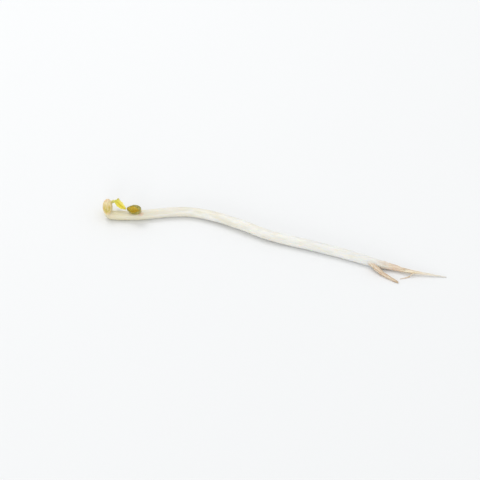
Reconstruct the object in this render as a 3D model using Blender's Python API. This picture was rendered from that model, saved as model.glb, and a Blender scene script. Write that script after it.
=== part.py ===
"""A mung bean sprout, as picked, lying on a surface: metres, +Z up, head towards -X, root tip towards +X."""

import math

import bmesh
import bpy
from mathutils import Matrix, Vector

MM = 0.001

# Driving dimensions of the axis: taproot, stem and shoot stalk are one grown piece.
STEM_RADIUS = 1.7 * MM
STEM_SIDES = 14
STEM_STATION_STEP = 1.0 * MM
HOOK_STATION_STEP = 0.32 * MM
REST_FLAT_DEPTH = 0.06 * MM  # the stem's own weight flattens its underside by this much
MOST_FLAT_SHARE = 0.1  # of the radius, where the axis is thin
TIP_ROUNDING_STEPS = 3
TIP_ROUNDING_LEFT = 0.6  # of a step, left open for the tube's last small face

# The axis where it lies, root tip first: x, y and the height of its underside in mm, and its radius as a
# share of the stem's.
LYING_ROUTE = (
    (69.9, 0.2, 0.00, 0.08),
    (65.6, -0.5, 0.28, 0.19),
    (62.2, -1.0, 0.45, 0.26),
    (59.0, -1.4, 0.50, 0.36),
    (55.4, -1.4, 0.38, 0.47),
    (51.6, -0.9, 0.15, 0.63),
    (47.2, -0.9, 0.00, 0.86),
    (41.2, -0.1, 0.00, 0.96),
    (34.0, 0.9, 0.00, 1.00),
    (26.0, 1.7, 0.00, 1.03),
    (17.5, 2.2, 0.12, 1.03),
    (8.8, 2.9, 0.40, 1.01),
    (-1.0, 5.3, 0.60, 1.00),
    (-10.5, 7.4, 0.35, 0.99),
    (-19.5, 7.9, 0.00, 0.98),
    (-27.2, 5.4, 0.00, 0.97),
    (-33.6, 2.3, 0.00, 0.96),
    (-38.8, 0.4, 0.00, 0.94),
)

# The head's own frame starts where the stem leaves the surface.
HEAD_START = Vector((-43.7, -0.9, 0.0)) * MM
HEAD_HEADING = math.radians(196.5)
HEAD_RISE_TILT = math.radians(50.0)
# The hook and the shoot stalk in that frame: out, rise in mm and radius as a share of the stem's.
HOOK_ROUTE = (
    (0.00, 0.00, 0.90),
    (1.15, 0.28, 0.88),
    (1.90, 1.02, 0.80),
    (2.10, 2.05, 0.62),
    (1.85, 3.10, 0.38),
    (1.25, 4.05, 0.32),
    (0.35, 4.65, 0.30),
    (-0.55, 4.70, 0.28),
)

# Seed leaves, in the head's frame.
COTYLEDON_LENGTH = 5.5 * MM
COTYLEDON_WIDTH = 3.1 * MM
COTYLEDON_THICKNESS = 1.15 * MM
COTYLEDON_MIDDLE = (1.75, 2.75)  # out, rise in mm
COTYLEDON_STAND_OFF = 1.50 * MM
COTYLEDON_LEAN = math.radians(8.0)
COTYLEDON_CURVE = 0.10  # how far its middle bows sideways, as a share of half its width
COTYLEDON_TOP_SPREAD = 0.10  # how much wider its upper end is than its lower one, as a share of the width
COTYLEDON_SHOULDER = 0.9  # below 1, so that its outer side is full
COTYLEDON_INNER_BULGE = 0.12  # of its thickness
COTYLEDON_MERIDIANS = 18
COTYLEDON_PARALLELS = 12

# First true leaves: midribs in the head's frame as out, rise, face in mm.
LEAF_THICKNESS = 0.28 * MM
LEAF_HALF_WIDTH = 1.02 * MM
LEAF_CUP = 0.55 * MM
LEAF_CUP_POWER = 1.5
LEAF_BELLY_SHIFT = 0.85  # below 1, so that the widest place is nearer to the stalk
LEAF_FULLNESS = 0.8
LEAF_STALK_SHARE = 0.24
LEAF_LEAST_SHARE = 0.06
LEAF_STATIONS = 16
LEAF_STRIPS = 8
FRONT_LEAF_MIDRIB = ((-0.55, 4.75, 0.72), (-1.45, 4.25, 1.20), (-2.75, 3.05, 1.50), (-4.30, 1.95, 1.40))
FRONT_LEAF_FACE = (0.15, 0.30, 1.0)
BACK_LEAF_MIDRIB = ((-0.55, 4.85, -0.70), (-0.72, 5.10, -1.60), (-0.95, 4.80, -3.10), (-1.45, 3.80, -4.80))
BACK_LEAF_FACE = (0.25, 0.90, 0.45)

# Growing tip between the leaf bases.
BUD_LENGTH = 1.1 * MM
BUD_RADIUS = 0.32 * MM
BUD_SLIMMING = 0.35  # how much slimmer its point is than its middle
BUD_MIDDLE = (-1.72, 4.52, -0.02)  # out, rise, face in mm
BUD_AIM = (-0.85, -0.45, 0.15)
BUD_MERIDIANS = 10
BUD_PARALLELS = 8

# Empty husk, lying on top of the stem.
SEED_LENGTH = 5.0 * MM
SEED_WIDTH = 3.5 * MM
SEED_HEIGHT = 2.9 * MM
SEED_WALL = 0.22 * MM
SEED_SEAT = (-36.75, 1.15)  # the point of the stem's centreline under its middle, x, y in mm
SEED_SEAT_SHARE = 0.96  # the stem's radius there, as a share of its usual one
SEED_LEAN = math.radians(-16.0)
SEED_HEADING = math.radians(3.0)
SEED_GAP = 0.2 * MM
SEED_STATIONS = 16
SEED_STRIPS = 22
SEED_POLE_SHARE = 0.04  # of the half turn from end to end, closed by a fan at each end
SEED_FULLNESS = 0.85
SEED_ROUND_END_SHARE = 0.13  # how much fuller the round end is than the pointed one
SEED_MOUTH_REACH = 0.85  # of the length, from the pointed end
SEED_MOUTH_BLUNTNESS = 0.8
SEED_WELD = 0.005 * MM
SEED_MOUTH_TURN = math.radians(-32.0)
SEED_MOUTH_HALF_ANGLE = math.radians(52.0)

# Side roots: distance of the base from the root tip in mm, side of the taproot, heading off the taproot
# at the base and at the tip in degrees, length and base radius in mm.
ROOT_SIDES = 8
ROOT_STATIONS = 11
ROOT_TIP_SHARE = 0.4
ROOT_GAP = 0.15 * MM
ROOT_TURN_EASING = 0.6  # below 1, so that a side root turns soonest near the taproot
ROOT_SETTLE_SHARE = 0.35  # the share of its length over which a side root comes down to the surface
LATERAL_ROOTS = (
    (22.4, -1.0, 30.0, 17.0, 8.9, 0.88),
    (10.8, -1.0, 138.0, 156.0, 4.4, 0.22),
)

COLOURS = {
    "stem_skin": ((0.80, 0.78, 0.71), 0.38),
    "cotyledon_skin": ((0.68, 0.50, 0.22), 0.55),
    "leaf_blade": ((0.72, 0.58, 0.08), 0.50),
    "bud_skin": ((0.62, 0.60, 0.16), 0.50),
    "seed_husk": ((0.20, 0.18, 0.03), 0.35),
    "root_skin": ((0.55, 0.36, 0.18), 0.60),
}


def clear_scene():
    """Removes whatever the scene holds."""
    for old in list(bpy.data.objects):
        bpy.data.objects.remove(old, do_unlink=True)


def finish(slot):
    """The Principled material of a slot, made once."""
    known = bpy.data.materials.get(slot)
    if known:
        return known
    colour, roughness = COLOURS[slot]
    material = bpy.data.materials.new(slot)
    material.use_nodes = True
    shader = material.node_tree.nodes["Principled BSDF"]
    shader.inputs["Base Color"].default_value = (*colour, 1.0)
    shader.inputs["Roughness"].default_value = roughness
    shader.inputs["Metallic"].default_value = 0.0
    return material


def placed(name, mesh, slot, parent):
    """An object for a finished mesh, smooth and parented to the plant."""
    mesh.materials.append(finish(slot))
    mesh.shade_smooth()
    piece = bpy.data.objects.new(name, mesh)
    piece.parent = parent
    bpy.context.scene.collection.objects.link(piece)
    return piece


def mesh_of(name, bm):
    """A mesh from a closed bmesh, its faces turned outwards."""
    bmesh.ops.recalc_face_normals(bm, faces=bm.faces)
    mesh = bpy.data.meshes.new(name)
    bm.to_mesh(mesh)
    bm.free()
    return mesh


def head_frame():
    """Head to plant coordinates: x out past the stem's end, y up the hook's rise, z towards its face."""
    out = Vector((math.cos(HEAD_HEADING), math.sin(HEAD_HEADING), 0.0))
    behind = Vector((math.sin(HEAD_HEADING), -math.cos(HEAD_HEADING), 0.0))
    rise = behind * math.cos(HEAD_RISE_TILT) + Vector((0.0, 0.0, math.sin(HEAD_RISE_TILT)))
    face = rise.cross(out)
    start = HEAD_START + Vector((0.0, 0.0, HOOK_ROUTE[0][2] * STEM_RADIUS - REST_FLAT_DEPTH))
    frame = Matrix((out, rise, face)).transposed().to_4x4()
    frame.translation = start
    return frame


def through(points, steps):
    """Points on a Catmull-Rom curve through x, y, z and radius, with its own step for each span."""
    ends = [points[0] * 2 - points[1], *points, points[-1] * 2 - points[-2]]
    found = [points[0]]
    for before, start, end, after, step in zip(ends, ends[1:], ends[2:], ends[3:], steps):
        length = (end.xyz - start.xyz).length
        count = max(2, round(length / step))
        for k in range(1, count + 1):
            t = k / count
            found.append(
                start
                + (end - before) * (t / 2)
                + (before * 2 - start * 5 + end * 4 - after) * (t * t / 2)
                + (start * 3 - before - end * 3 + after) * (t * t * t / 2)
            )
    return found


def dome(last, previous):
    """Stations past the last one that close a tube in a dome."""
    outwards = (last.xyz - previous.xyz).normalized()
    added = []
    for k in range(1, TIP_ROUNDING_STEPS + 1):
        turn = 0.5 * math.pi * k / (TIP_ROUNDING_STEPS + TIP_ROUNDING_LEFT)
        centre = last.xyz + outwards * (last.w * math.sin(turn))
        added.append(Vector((*centre, last.w * math.cos(turn))))
    return added


def tube(name, stations, sides):
    """A closed tube round stations of x, y, z and radius, flat where it would pass below the surface."""
    bm = bmesh.new()
    rings = []
    up = Vector((0.0, 0.0, 1.0))
    for k, station in enumerate(stations):
        ahead = stations[min(k + 1, len(stations) - 1)].xyz
        behind = stations[max(k - 1, 0)].xyz
        tangent = (ahead - behind).normalized()
        up = (up - tangent * up.dot(tangent)).normalized()
        across = tangent.cross(up)
        ring = []
        for side in range(sides):
            turn = 2.0 * math.pi * (side + 0.5) / sides
            point = station.xyz + (across * math.sin(turn) - up * math.cos(turn)) * station.w
            point.z = max(point.z, 0.0)
            ring.append(bm.verts.new(point))
        rings.append(ring)
    for first, second in zip(rings, rings[1:]):
        for side in range(sides):
            after = (side + 1) % sides
            bm.faces.new((first[side], first[after], second[after], second[side]))
    bm.faces.new(rings[0])
    bm.faces.new(rings[-1])
    return mesh_of(name, bm)


def axis_stations(head):
    """Taproot, stem, hook and shoot stalk as stations of x, y, z and radius, root tip first."""
    route = []
    for x, y, height, share in LYING_ROUTE:
        radius = share * STEM_RADIUS
        sink = min(REST_FLAT_DEPTH, MOST_FLAT_SHARE * radius)
        route.append(Vector((x * MM, y * MM, height * MM + radius - sink, radius)))
    for out, rise, share in HOOK_ROUTE:
        place = head @ Vector((out * MM, rise * MM, 0.0))
        route.append(Vector((*place, share * STEM_RADIUS)))
    steps = [STEM_STATION_STEP] * len(LYING_ROUTE) + [HOOK_STATION_STEP] * (len(HOOK_ROUTE) - 1)
    return through(route, steps)


def axis_mesh(stations):
    """The axis as one tube, domed at both ends."""
    root_tip = dome(stations[0], stations[1])[::-1]
    shoot_tip = dome(stations[-1], stations[-2])
    return tube("stem_with_taproot", root_tip + stations + shoot_tip, STEM_SIDES)


def cotyledon_mesh(name, head, side):
    """A seed leaf: half a bean, flat inside and domed outside, on one side (+1 or -1) of the hook's plane."""
    bm = bmesh.new()
    bmesh.ops.create_uvsphere(
        bm, u_segments=COTYLEDON_MERIDIANS, v_segments=COTYLEDON_PARALLELS, radius=1.0
    )
    for vert in bm.verts:
        across, outwards, along = vert.co
        bow = COTYLEDON_CURVE * (1.0 - along * along)
        spread = 1.0 + COTYLEDON_TOP_SPREAD * along
        height = max(outwards, 0.0) ** COTYLEDON_SHOULDER - max(-outwards, 0.0) * COTYLEDON_INNER_BULGE
        vert.co = Vector((
            (across * spread + bow) * 0.5 * COTYLEDON_WIDTH,
            along * 0.5 * COTYLEDON_LENGTH,
            height * COTYLEDON_THICKNESS,
        ))
    out, rise = COTYLEDON_MIDDLE
    middle = Vector((out * MM, rise * MM, side * COTYLEDON_STAND_OFF))
    lean = Matrix.Rotation(side * -COTYLEDON_LEAN, 4, "X")
    flip = Matrix.Diagonal((1.0, 1.0, side, 1.0))
    bmesh.ops.transform(bm, matrix=head @ Matrix.Translation(middle) @ lean @ flip, verts=bm.verts)
    return mesh_of(name, bm)


def leaf_outline(t):
    """Half width of a leaf as a share of its widest, from its stalk at 0 to its point at 1."""
    blade = max(0.0, math.sin(math.pi * t**LEAF_BELLY_SHIFT)) ** LEAF_FULLNESS
    stalk = LEAF_STALK_SHARE * (1.0 - t) ** 2
    return max(blade, stalk, LEAF_LEAST_SHARE)


def leaf_mesh(name, head, midrib, facing):
    """A cupped blade along a midrib, as one sheet of quads for Solidify."""
    route = [Vector((*point, 0.0)) * MM for point in midrib]
    length = sum((b - a).length for a, b in zip(route, route[1:]))
    stations = through(route, [length / LEAF_STATIONS] * (len(route) - 1))
    bm = bmesh.new()
    rows = []
    for k, station in enumerate(stations):
        ahead = stations[min(k + 1, len(stations) - 1)].xyz
        behind = stations[max(k - 1, 0)].xyz
        tangent = (ahead - behind).normalized()
        across = tangent.cross(Vector(facing)).normalized()
        normal = across.cross(tangent)
        share = leaf_outline(k / (len(stations) - 1))
        row = []
        for strip in range(LEAF_STRIPS + 1):
            s = 2.0 * strip / LEAF_STRIPS - 1.0
            wide = across * (s * share * LEAF_HALF_WIDTH)
            cup = normal * (abs(s) ** LEAF_CUP_POWER * share * LEAF_CUP)
            row.append(bm.verts.new(head @ (station.xyz + wide + cup)))
        rows.append(row)
    for first, second in zip(rows, rows[1:]):
        for strip in range(LEAF_STRIPS):
            bm.faces.new((first[strip], second[strip], second[strip + 1], first[strip + 1]))
    mesh = bpy.data.meshes.new(name)
    bm.to_mesh(mesh)
    bm.free()
    return mesh


def thicken(piece, thickness, offset):
    """Gives a sheet its wall."""
    wall = piece.modifiers.new("wall", "SOLIDIFY")
    wall.thickness = thickness
    wall.offset = offset


def bud_mesh(head):
    """The growing tip: a small pointed egg along the shoot stalk's last direction."""
    bm = bmesh.new()
    bmesh.ops.create_uvsphere(bm, u_segments=BUD_MERIDIANS, v_segments=BUD_PARALLELS, radius=1.0)
    for vert in bm.verts:
        x, y, z = vert.co
        radius = (1.0 - BUD_SLIMMING * z) * BUD_RADIUS
        vert.co = Vector((x * radius, y * radius, z * 0.5 * BUD_LENGTH))
    aim = Vector(BUD_AIM).to_track_quat("Z", "Y").to_matrix().to_4x4()
    middle = Matrix.Translation(Vector(BUD_MIDDLE) * MM)
    bmesh.ops.transform(bm, matrix=head @ middle @ aim, verts=bm.verts)
    return mesh_of("terminal_bud", bm)


def seed_frame():
    """Husk coordinates to the plant's: x from its pointed end to its round one, z away from the stem."""
    x, y = SEED_SEAT
    seat_radius = SEED_SEAT_SHARE * STEM_RADIUS
    seat = Vector((x * MM, y * MM, seat_radius))
    turn = Matrix.Rotation(SEED_HEADING, 4, "Z")
    lean = Matrix.Rotation(-SEED_LEAN, 4, "X")
    clear = seat_radius + SEED_GAP + 0.5 * SEED_HEIGHT
    return Matrix.Translation(seat) @ lean @ turn @ Matrix.Translation((0.0, 0.0, clear))


def husk_sheet():
    """The husk's outer skin, with a lens-shaped mouth that runs from its pointed end."""
    bm = bmesh.new()
    rows = []
    for k in range(SEED_STATIONS + 1):
        along = k / SEED_STATIONS
        theta = math.pi * (SEED_POLE_SHARE + (1.0 - 2.0 * SEED_POLE_SHARE) * along)
        slim = math.sin(theta) ** SEED_FULLNESS * (1.0 - SEED_ROUND_END_SHARE * math.cos(theta))
        gape = max(0.0, math.sin(math.pi * min(1.0, along / SEED_MOUTH_REACH)))
        opening = SEED_MOUTH_HALF_ANGLE * gape**SEED_MOUTH_BLUNTNESS
        row = []
        for strip in range(SEED_STRIPS + 1):
            share = strip / SEED_STRIPS
            turn = SEED_MOUTH_TURN + opening + (2.0 * math.pi - 2.0 * opening) * share
            row.append(bm.verts.new((
                -0.5 * SEED_LENGTH * math.cos(theta),
                0.5 * SEED_WIDTH * slim * math.sin(turn),
                0.5 * SEED_HEIGHT * slim * math.cos(turn),
            )))
        rows.append(row)
    for first, second in zip(rows, rows[1:]):
        for strip in range(SEED_STRIPS):
            bm.faces.new((first[strip], first[strip + 1], second[strip + 1], second[strip]))
    for row, reach in ((rows[0], -0.5), (rows[-1], 0.5)):
        pole = bm.verts.new((reach * SEED_LENGTH, 0.0, 0.0))
        for strip in range(SEED_STRIPS):
            bm.faces.new((row[strip], row[strip + 1], pole))
    bmesh.ops.remove_doubles(bm, verts=bm.verts, dist=SEED_WELD)
    bmesh.ops.transform(bm, matrix=seed_frame(), verts=bm.verts)
    return mesh_of("seed_coat", bm)


def lateral_mesh(name, axis, from_tip, side, base_heading, tip_heading, length, base_radius):
    """A side root: it leaves the taproot's flank, comes down to the surface and tapers to its tip."""
    reached = 0.0
    for before, here in zip(axis, axis[1:]):
        reached += (here.xyz - before.xyz).length
        if reached >= from_tip * MM:
            break
    along = (before.xyz - here.xyz).normalized()
    flank = Vector((-along.y, along.x, 0.0)) * side
    radius = base_radius * MM
    clear = here.w + ROOT_GAP + radius * abs(math.cos(math.radians(base_heading)))
    place = here.xyz + flank * clear
    step = length * MM / ROOT_STATIONS
    stations = []
    for k in range(ROOT_STATIONS + 1):
        share = k / ROOT_STATIONS
        here_radius = radius * (1.0 - (1.0 - ROOT_TIP_SHARE) * share)
        settled = min(1.0, share / ROOT_SETTLE_SHARE)
        settled = settled * settled * (3.0 - 2.0 * settled)
        place.z = max(here_radius, here.z + (here_radius - here.z) * settled)
        stations.append(Vector((*place, here_radius)))
        heading = math.radians(base_heading + (tip_heading - base_heading) * share**ROOT_TURN_EASING)
        place = place + (along * math.cos(heading) + flank * math.sin(heading)) * step
    return tube(name, stations + dome(stations[-1], stations[-2]), ROOT_SIDES)


def centre_over_origin(plant, pieces):
    """Moves the plant so that the origin is the middle of its box, on the surface it lies on."""
    bpy.context.view_layer.update()
    graph = bpy.context.evaluated_depsgraph_get()
    corners = []
    for piece in pieces:
        solid = piece.evaluated_get(graph)
        corners += [solid.matrix_world @ Vector(corner) for corner in solid.bound_box]
    middle = [0.5 * (min(c[k] for c in corners) + max(c[k] for c in corners)) for k in range(2)]
    plant.location = (-middle[0], -middle[1], 0.0)
    bpy.context.view_layer.update()


def build_sprout():
    """The whole sprout: one object for each piece."""
    clear_scene()
    plant = bpy.data.objects.new("sprout", None)
    bpy.context.scene.collection.objects.link(plant)
    head = head_frame()
    axis = axis_stations(head)
    pieces = [
        placed("stem_with_taproot", axis_mesh(axis), "stem_skin", plant),
        placed("cotyledon_front", cotyledon_mesh("cotyledon_front", head, 1.0), "cotyledon_skin", plant),
        placed("cotyledon_back", cotyledon_mesh("cotyledon_back", head, -1.0), "cotyledon_skin", plant),
        placed("terminal_bud", bud_mesh(head), "bud_skin", plant),
    ]
    for name, midrib, facing in (
        ("first_leaf_front", FRONT_LEAF_MIDRIB, FRONT_LEAF_FACE),
        ("first_leaf_back", BACK_LEAF_MIDRIB, BACK_LEAF_FACE),
    ):
        leaf = placed(name, leaf_mesh(name, head, midrib, facing), "leaf_blade", plant)
        thicken(leaf, LEAF_THICKNESS, 0.0)
        pieces.append(leaf)
    husk = placed("seed_coat", husk_sheet(), "seed_husk", plant)
    thicken(husk, SEED_WALL, -1.0)
    pieces.append(husk)
    for number, shape in enumerate(LATERAL_ROOTS, start=1):
        name = f"lateral_root_{number}"
        pieces.append(placed(name, lateral_mesh(name, axis, *shape), "root_skin", plant))
    centre_over_origin(plant, pieces)


build_sprout()
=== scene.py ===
"""The looks of one mung bean sprout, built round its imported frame. Metres, +Z up, head towards -X."""

import logging
import math
from dataclasses import asdict, dataclass, fields, replace
from enum import Enum
from typing import Callable, ClassVar, Mapping, Sequence, Union

import bmesh
import bpy
import numpy as np
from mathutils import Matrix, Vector, noise
from mathutils.bvhtree import BVHTree


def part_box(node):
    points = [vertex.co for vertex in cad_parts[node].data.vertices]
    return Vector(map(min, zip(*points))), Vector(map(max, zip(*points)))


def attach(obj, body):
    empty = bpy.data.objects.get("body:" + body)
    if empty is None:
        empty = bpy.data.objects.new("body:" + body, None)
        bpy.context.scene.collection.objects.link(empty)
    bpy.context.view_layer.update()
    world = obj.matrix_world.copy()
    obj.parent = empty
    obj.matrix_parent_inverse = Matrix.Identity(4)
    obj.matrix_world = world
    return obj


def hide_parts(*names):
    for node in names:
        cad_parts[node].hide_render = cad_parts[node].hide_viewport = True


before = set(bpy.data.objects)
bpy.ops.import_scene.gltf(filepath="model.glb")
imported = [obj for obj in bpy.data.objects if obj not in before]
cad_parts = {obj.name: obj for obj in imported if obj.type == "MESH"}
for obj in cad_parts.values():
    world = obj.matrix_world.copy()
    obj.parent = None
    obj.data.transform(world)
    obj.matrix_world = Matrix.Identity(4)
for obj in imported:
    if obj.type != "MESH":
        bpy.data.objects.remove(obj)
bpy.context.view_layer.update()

MM = 0.001
BODY = "root"
SIDE_ROOTS = {"lateral_root_1": 5.3, "lateral_root_2": 7.6}     # the seed of each one's skin
SEED_SHIFT = (17.3, -8.1, 5.7)
log = logging.getLogger("sprout")

Colour = tuple[float, float, float]
Place = tuple[float, float, float]
Triple = tuple[float, float, float]
Pair = tuple[float, float]
Band = tuple[float, float]      # where a smooth step is 0, and where it is 1
Cover = tuple[float, float]     # a coat's least cover, and how much a mask adds to it
Grain = tuple[float, float]     # a noise's clouds to a unit, and its octaves
Feed = Union["Value", bpy.types.NodeSocket, float, int, bool, str, Sequence[float]]
Settings = Mapping[str, object] | None
Inputs = Mapping[int | str, Feed] | None


class Slot(Enum):
    """The record's material slots."""

    STEM = "stem_skin"
    SEED_LEAF = "cotyledon_skin"
    FIRST_LEAF = "leaf_blade"
    BUD = "bud_skin"
    HUSK = "seed_husk"
    ROOT = "root_skin"


class Side(Enum):
    """Which side of the hook's plane a piece is on."""

    FRONT = "front"
    BACK = "back"


# ---- Node benches: shader maths written as expressions, and every other node from one method ----


def operator(operation: str, swapped: bool = False) -> Callable[..., "Value"]:
    """Makes a method of Value that adds one Math node.

    Args:
        operation: the Math node's operation.
        swapped: whether the other operand comes first, as in a reflected form.

    Returns:
        The method.
    """

    def method(self: "Value", *others: Feed) -> "Value":
        """The operation's result."""
        operands = (*others, self) if swapped else (self, *others)
        return self.bench.value("ShaderNodeMath", {"operation": operation}, dict(enumerate(operands)))

    return method


class Value:
    """A number that varies over a surface: an output socket with arithmetic."""

    __add__, __radd__ = operator("ADD"), operator("ADD", swapped=True)
    __sub__, __rsub__ = operator("SUBTRACT"), operator("SUBTRACT", swapped=True)
    __mul__, __rmul__ = operator("MULTIPLY"), operator("MULTIPLY", swapped=True)
    __truediv__, __pow__, __abs__ = operator("DIVIDE"), operator("POWER"), operator("ABSOLUTE")
    most, sine, cosine = operator("MAXIMUM"), operator("SINE"), operator("COSINE")

    def __init__(self, bench: "Bench", socket: bpy.types.NodeSocket) -> None:
        """Wraps a socket of a bench's tree."""
        self.bench = bench
        self.socket = socket

    def ragged(self, cloud: Feed, shift: float) -> "Value":
        """The value with a ragged edge, shifted by a noise about 0.5."""
        return self + (cloud - 0.5) * shift

    def step(self, low: float, high: float) -> "Value":
        """A smooth step.

        Args:
            low: where the step is still 0.
            high: where it has reached 1. It may be below low, for a step down.

        Returns:
            The step, from 0 to 1.
        """
        inputs = {"Value": self, "From Min": low, "From Max": high, "To Min": 0.0, "To Max": 1.0}
        if low > high:
            inputs |= {"From Min": high, "From Max": low, "To Min": 1.0, "To Max": 0.0}
        return self.bench.value("ShaderNodeMapRange", {"interpolation_type": "SMOOTHSTEP"}, inputs)


class Bench:
    """A node tree under construction."""

    OCTAVE_SHARE: ClassVar[float] = 0.55

    def __init__(self, tree: bpy.types.NodeTree) -> None:
        """Starts on a tree, which may hold nodes already."""
        self.tree = tree

    @staticmethod
    def socket(sockets: bpy.types.bpy_prop_collection, key: int | str) -> bpy.types.NodeSocket:
        """Finds one of a node's inputs or outputs.

        Args:
            sockets: the inputs or the outputs.
            key: the socket's index, its identifier, or its name.

        Returns:
            The socket.
        """
        known = {found.identifier: found for found in sockets}
        return known[key] if key in known else sockets[key]

    def node(self, kind: str, settings: Settings = None, inputs: Inputs = None) -> bpy.types.Node:
        """Adds any node.

        Args:
            kind: the node's type.
            settings: its own properties, set first.
            inputs: a value, or the link, for each of its sockets named here.

        Returns:
            The node.
        """
        made = self.tree.nodes.new(kind)
        for name, value in (settings or {}).items():
            setattr(made, name, value)
        for key, value in (inputs or {}).items():
            target = self.socket(made.inputs, key)
            source = value.socket if isinstance(value, Value) else value
            if isinstance(source, bpy.types.NodeSocket):
                self.tree.links.new(source, target)
            else:
                target.default_value = source
        return made

    def link(
        self, kind: str, settings: Settings = None, inputs: Inputs = None, output: int | str = 0
    ) -> bpy.types.NodeSocket:
        """Adds a node, as node() does, and gives one of its outputs."""
        return self.socket(self.node(kind, settings, inputs).outputs, output)

    def value(
        self, kind: str, settings: Settings = None, inputs: Inputs = None, output: int | str = 0
    ) -> Value:
        """Adds a node, as link() does, and wraps its output for arithmetic."""
        return Value(self, self.link(kind, settings, inputs, output))

    def combine(self, x: Feed, y: Feed, z: Feed) -> bpy.types.NodeSocket:
        """A vector from three numbers."""
        return self.link("ShaderNodeCombineXYZ", None, {0: x, 1: y, 2: z})

    def separate(self, vector: Feed) -> tuple[Value, Value, Value]:
        """A vector's three numbers."""
        x, y, z = self.node("ShaderNodeSeparateXYZ", None, {0: vector}).outputs
        return Value(self, x), Value(self, y), Value(self, z)

    def scaled(self, vector: Feed, scale: Feed) -> bpy.types.NodeSocket:
        """A vector times a number."""
        return self.link("ShaderNodeVectorMath", {"operation": "SCALE"}, {0: vector, "Scale": scale})

    def noise(self, vector: Feed, scale: float, detail: float) -> Value:
        """Cloudy noise.

        Args:
            vector: the coordinates.
            scale: how many clouds to a unit of them.
            detail: octaves.

        Returns:
            The noise, about 0.5.
        """
        inputs = {"Vector": vector, "Scale": scale, "Detail": detail, "Roughness": self.OCTAVE_SHARE}
        return self.value("ShaderNodeTexNoise", None, inputs)


class SkinBench(Bench):
    """A material's tree, with the coordinates that the pieces carry."""

    def attribute(self, name: str) -> bpy.types.NodeSocket:
        """A vector that the mesh carries."""
        return self.link("ShaderNodeAttribute", {"attribute_name": name}, None, "Vector")

    def number(self, name: str) -> Value:
        """A number that the mesh carries."""
        return self.value("ShaderNodeAttribute", {"attribute_name": name}, None, "Fac")

    def place(self, scale: float = 1.0) -> bpy.types.NodeSocket:
        """The object's own coordinates, with this many units to a metre."""
        return self.scaled(self.link("ShaderNodeTexCoord", None, None, "Object"), scale)

    def grain(self, scale: float, detail: float) -> Value:
        """Fine noise, with this many clouds to a millimetre and octaves."""
        return self.noise(self.place(1.0 / MM), scale, detail)

    def coated(self, ground: Feed, *coats: tuple[Feed, Feed]) -> Feed:
        """Lays colours over one another.

        Args:
            ground: the colour under them all, or its link.
            *coats: each coat's cover from 0 to 1, and its colour or link, from the lowest up.

        Returns:
            The link of the mixed colour.
        """
        for cover, colour in coats:
            pair = {
                key: (*tone, 1.0) if isinstance(tone, tuple) else tone
                for key, tone in (("A_Color", ground), ("B_Color", colour))
            }
            settings = {"data_type": "RGBA", "clamp_factor": True}
            ground = self.link("ShaderNodeMix", settings, {"Factor_Float": cover, **pair}, "Result_Color")
        return ground


# ---- Finishes ----


@dataclass(frozen=True)
class Streak:
    """Noise drawn out along a tube: its coarseness round the tube, its length, its scale and octaves."""

    around: float
    length: float
    scale: float = 1.0
    detail: float = 3.0

    def over(self, x: Value, y: Value, along: Value) -> Value:
        """The noise, from the turn round the tube as cosine and sine, and the distance along it."""
        place = along.bench.combine(x * self.around, y * self.around, along / self.length)
        return along.bench.noise(place, self.scale, self.detail)


@dataclass(frozen=True)
class Coat:
    """A colour over those below it: none where a mask is at start, and its full cover at full."""

    colour: Colour
    start: float
    full: float
    cover: float = 1.0

    def over(self, mask: Value, within: Feed = 1.0) -> tuple[Feed, Colour]:
        """The coat's cover over a mask, kept within another one, and its colour."""
        return mask.step(self.start, self.full) * (self.cover * within), self.colour


@dataclass(frozen=True)
class Finish:
    """A surface: a Principled material with steady sockets, and nodes of its own for what varies."""

    label: str
    roughness: float = 0.5
    roughening: float = 0.2
    specular: float = 0.5
    coat: float = 0.0
    coat_roughness: float = 0.2
    inner_light: float = 0.0
    inner_reach: float = 1.0 * MM
    inner_tint: Colour = (1.0, 0.8, 0.5)
    grain: Grain = (8.0, 3.0)
    graininess: float = 0.5
    relief: float = 0.03 * MM
    relief_strength: float = 0.5

    def material(self) -> bpy.types.Material:
        """Makes the material, or finds it if it is made.

        Returns:
            The material.
        """
        known = bpy.data.materials.get(self.label)
        if known:
            return known
        made = bpy.data.materials.new(self.label)
        made.use_nodes = True
        made.node_tree.nodes.clear()
        bench = SkinBench(made.node_tree)
        steady = {
            "Specular IOR Level": self.specular,
            "Coat Weight": self.coat,
            "Coat Roughness": self.coat_roughness,
            "Subsurface Weight": self.inner_light,
            "Subsurface Scale": self.inner_reach,
            "Subsurface Radius": self.inner_tint,
        }
        colour, texture, height = self.paint(bench)
        bump = {"Height": height, "Distance": self.relief, "Strength": self.relief_strength}
        varying = {
            "Base Color": colour,
            "Roughness": self.roughness + self.roughening * texture,
            "Normal": bench.link("ShaderNodeBump", None, bump),
        }
        shader = bench.link("ShaderNodeBsdfPrincipled", None, steady | varying)
        bench.node("ShaderNodeOutputMaterial", None, {"Surface": shader})
        return made

    def grained(self, bench: SkinBench, height: Value) -> Value:
        """A height with the finish's own fine grain in it."""
        return height * (1.0 - self.graininess) + bench.grain(*self.grain) * self.graininess

    def paint(self, bench: SkinBench) -> tuple[Feed, Value, Value]:
        """What varies: the colour, the texture that roughens it, and the height of its relief."""
        raise NotImplementedError


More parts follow.
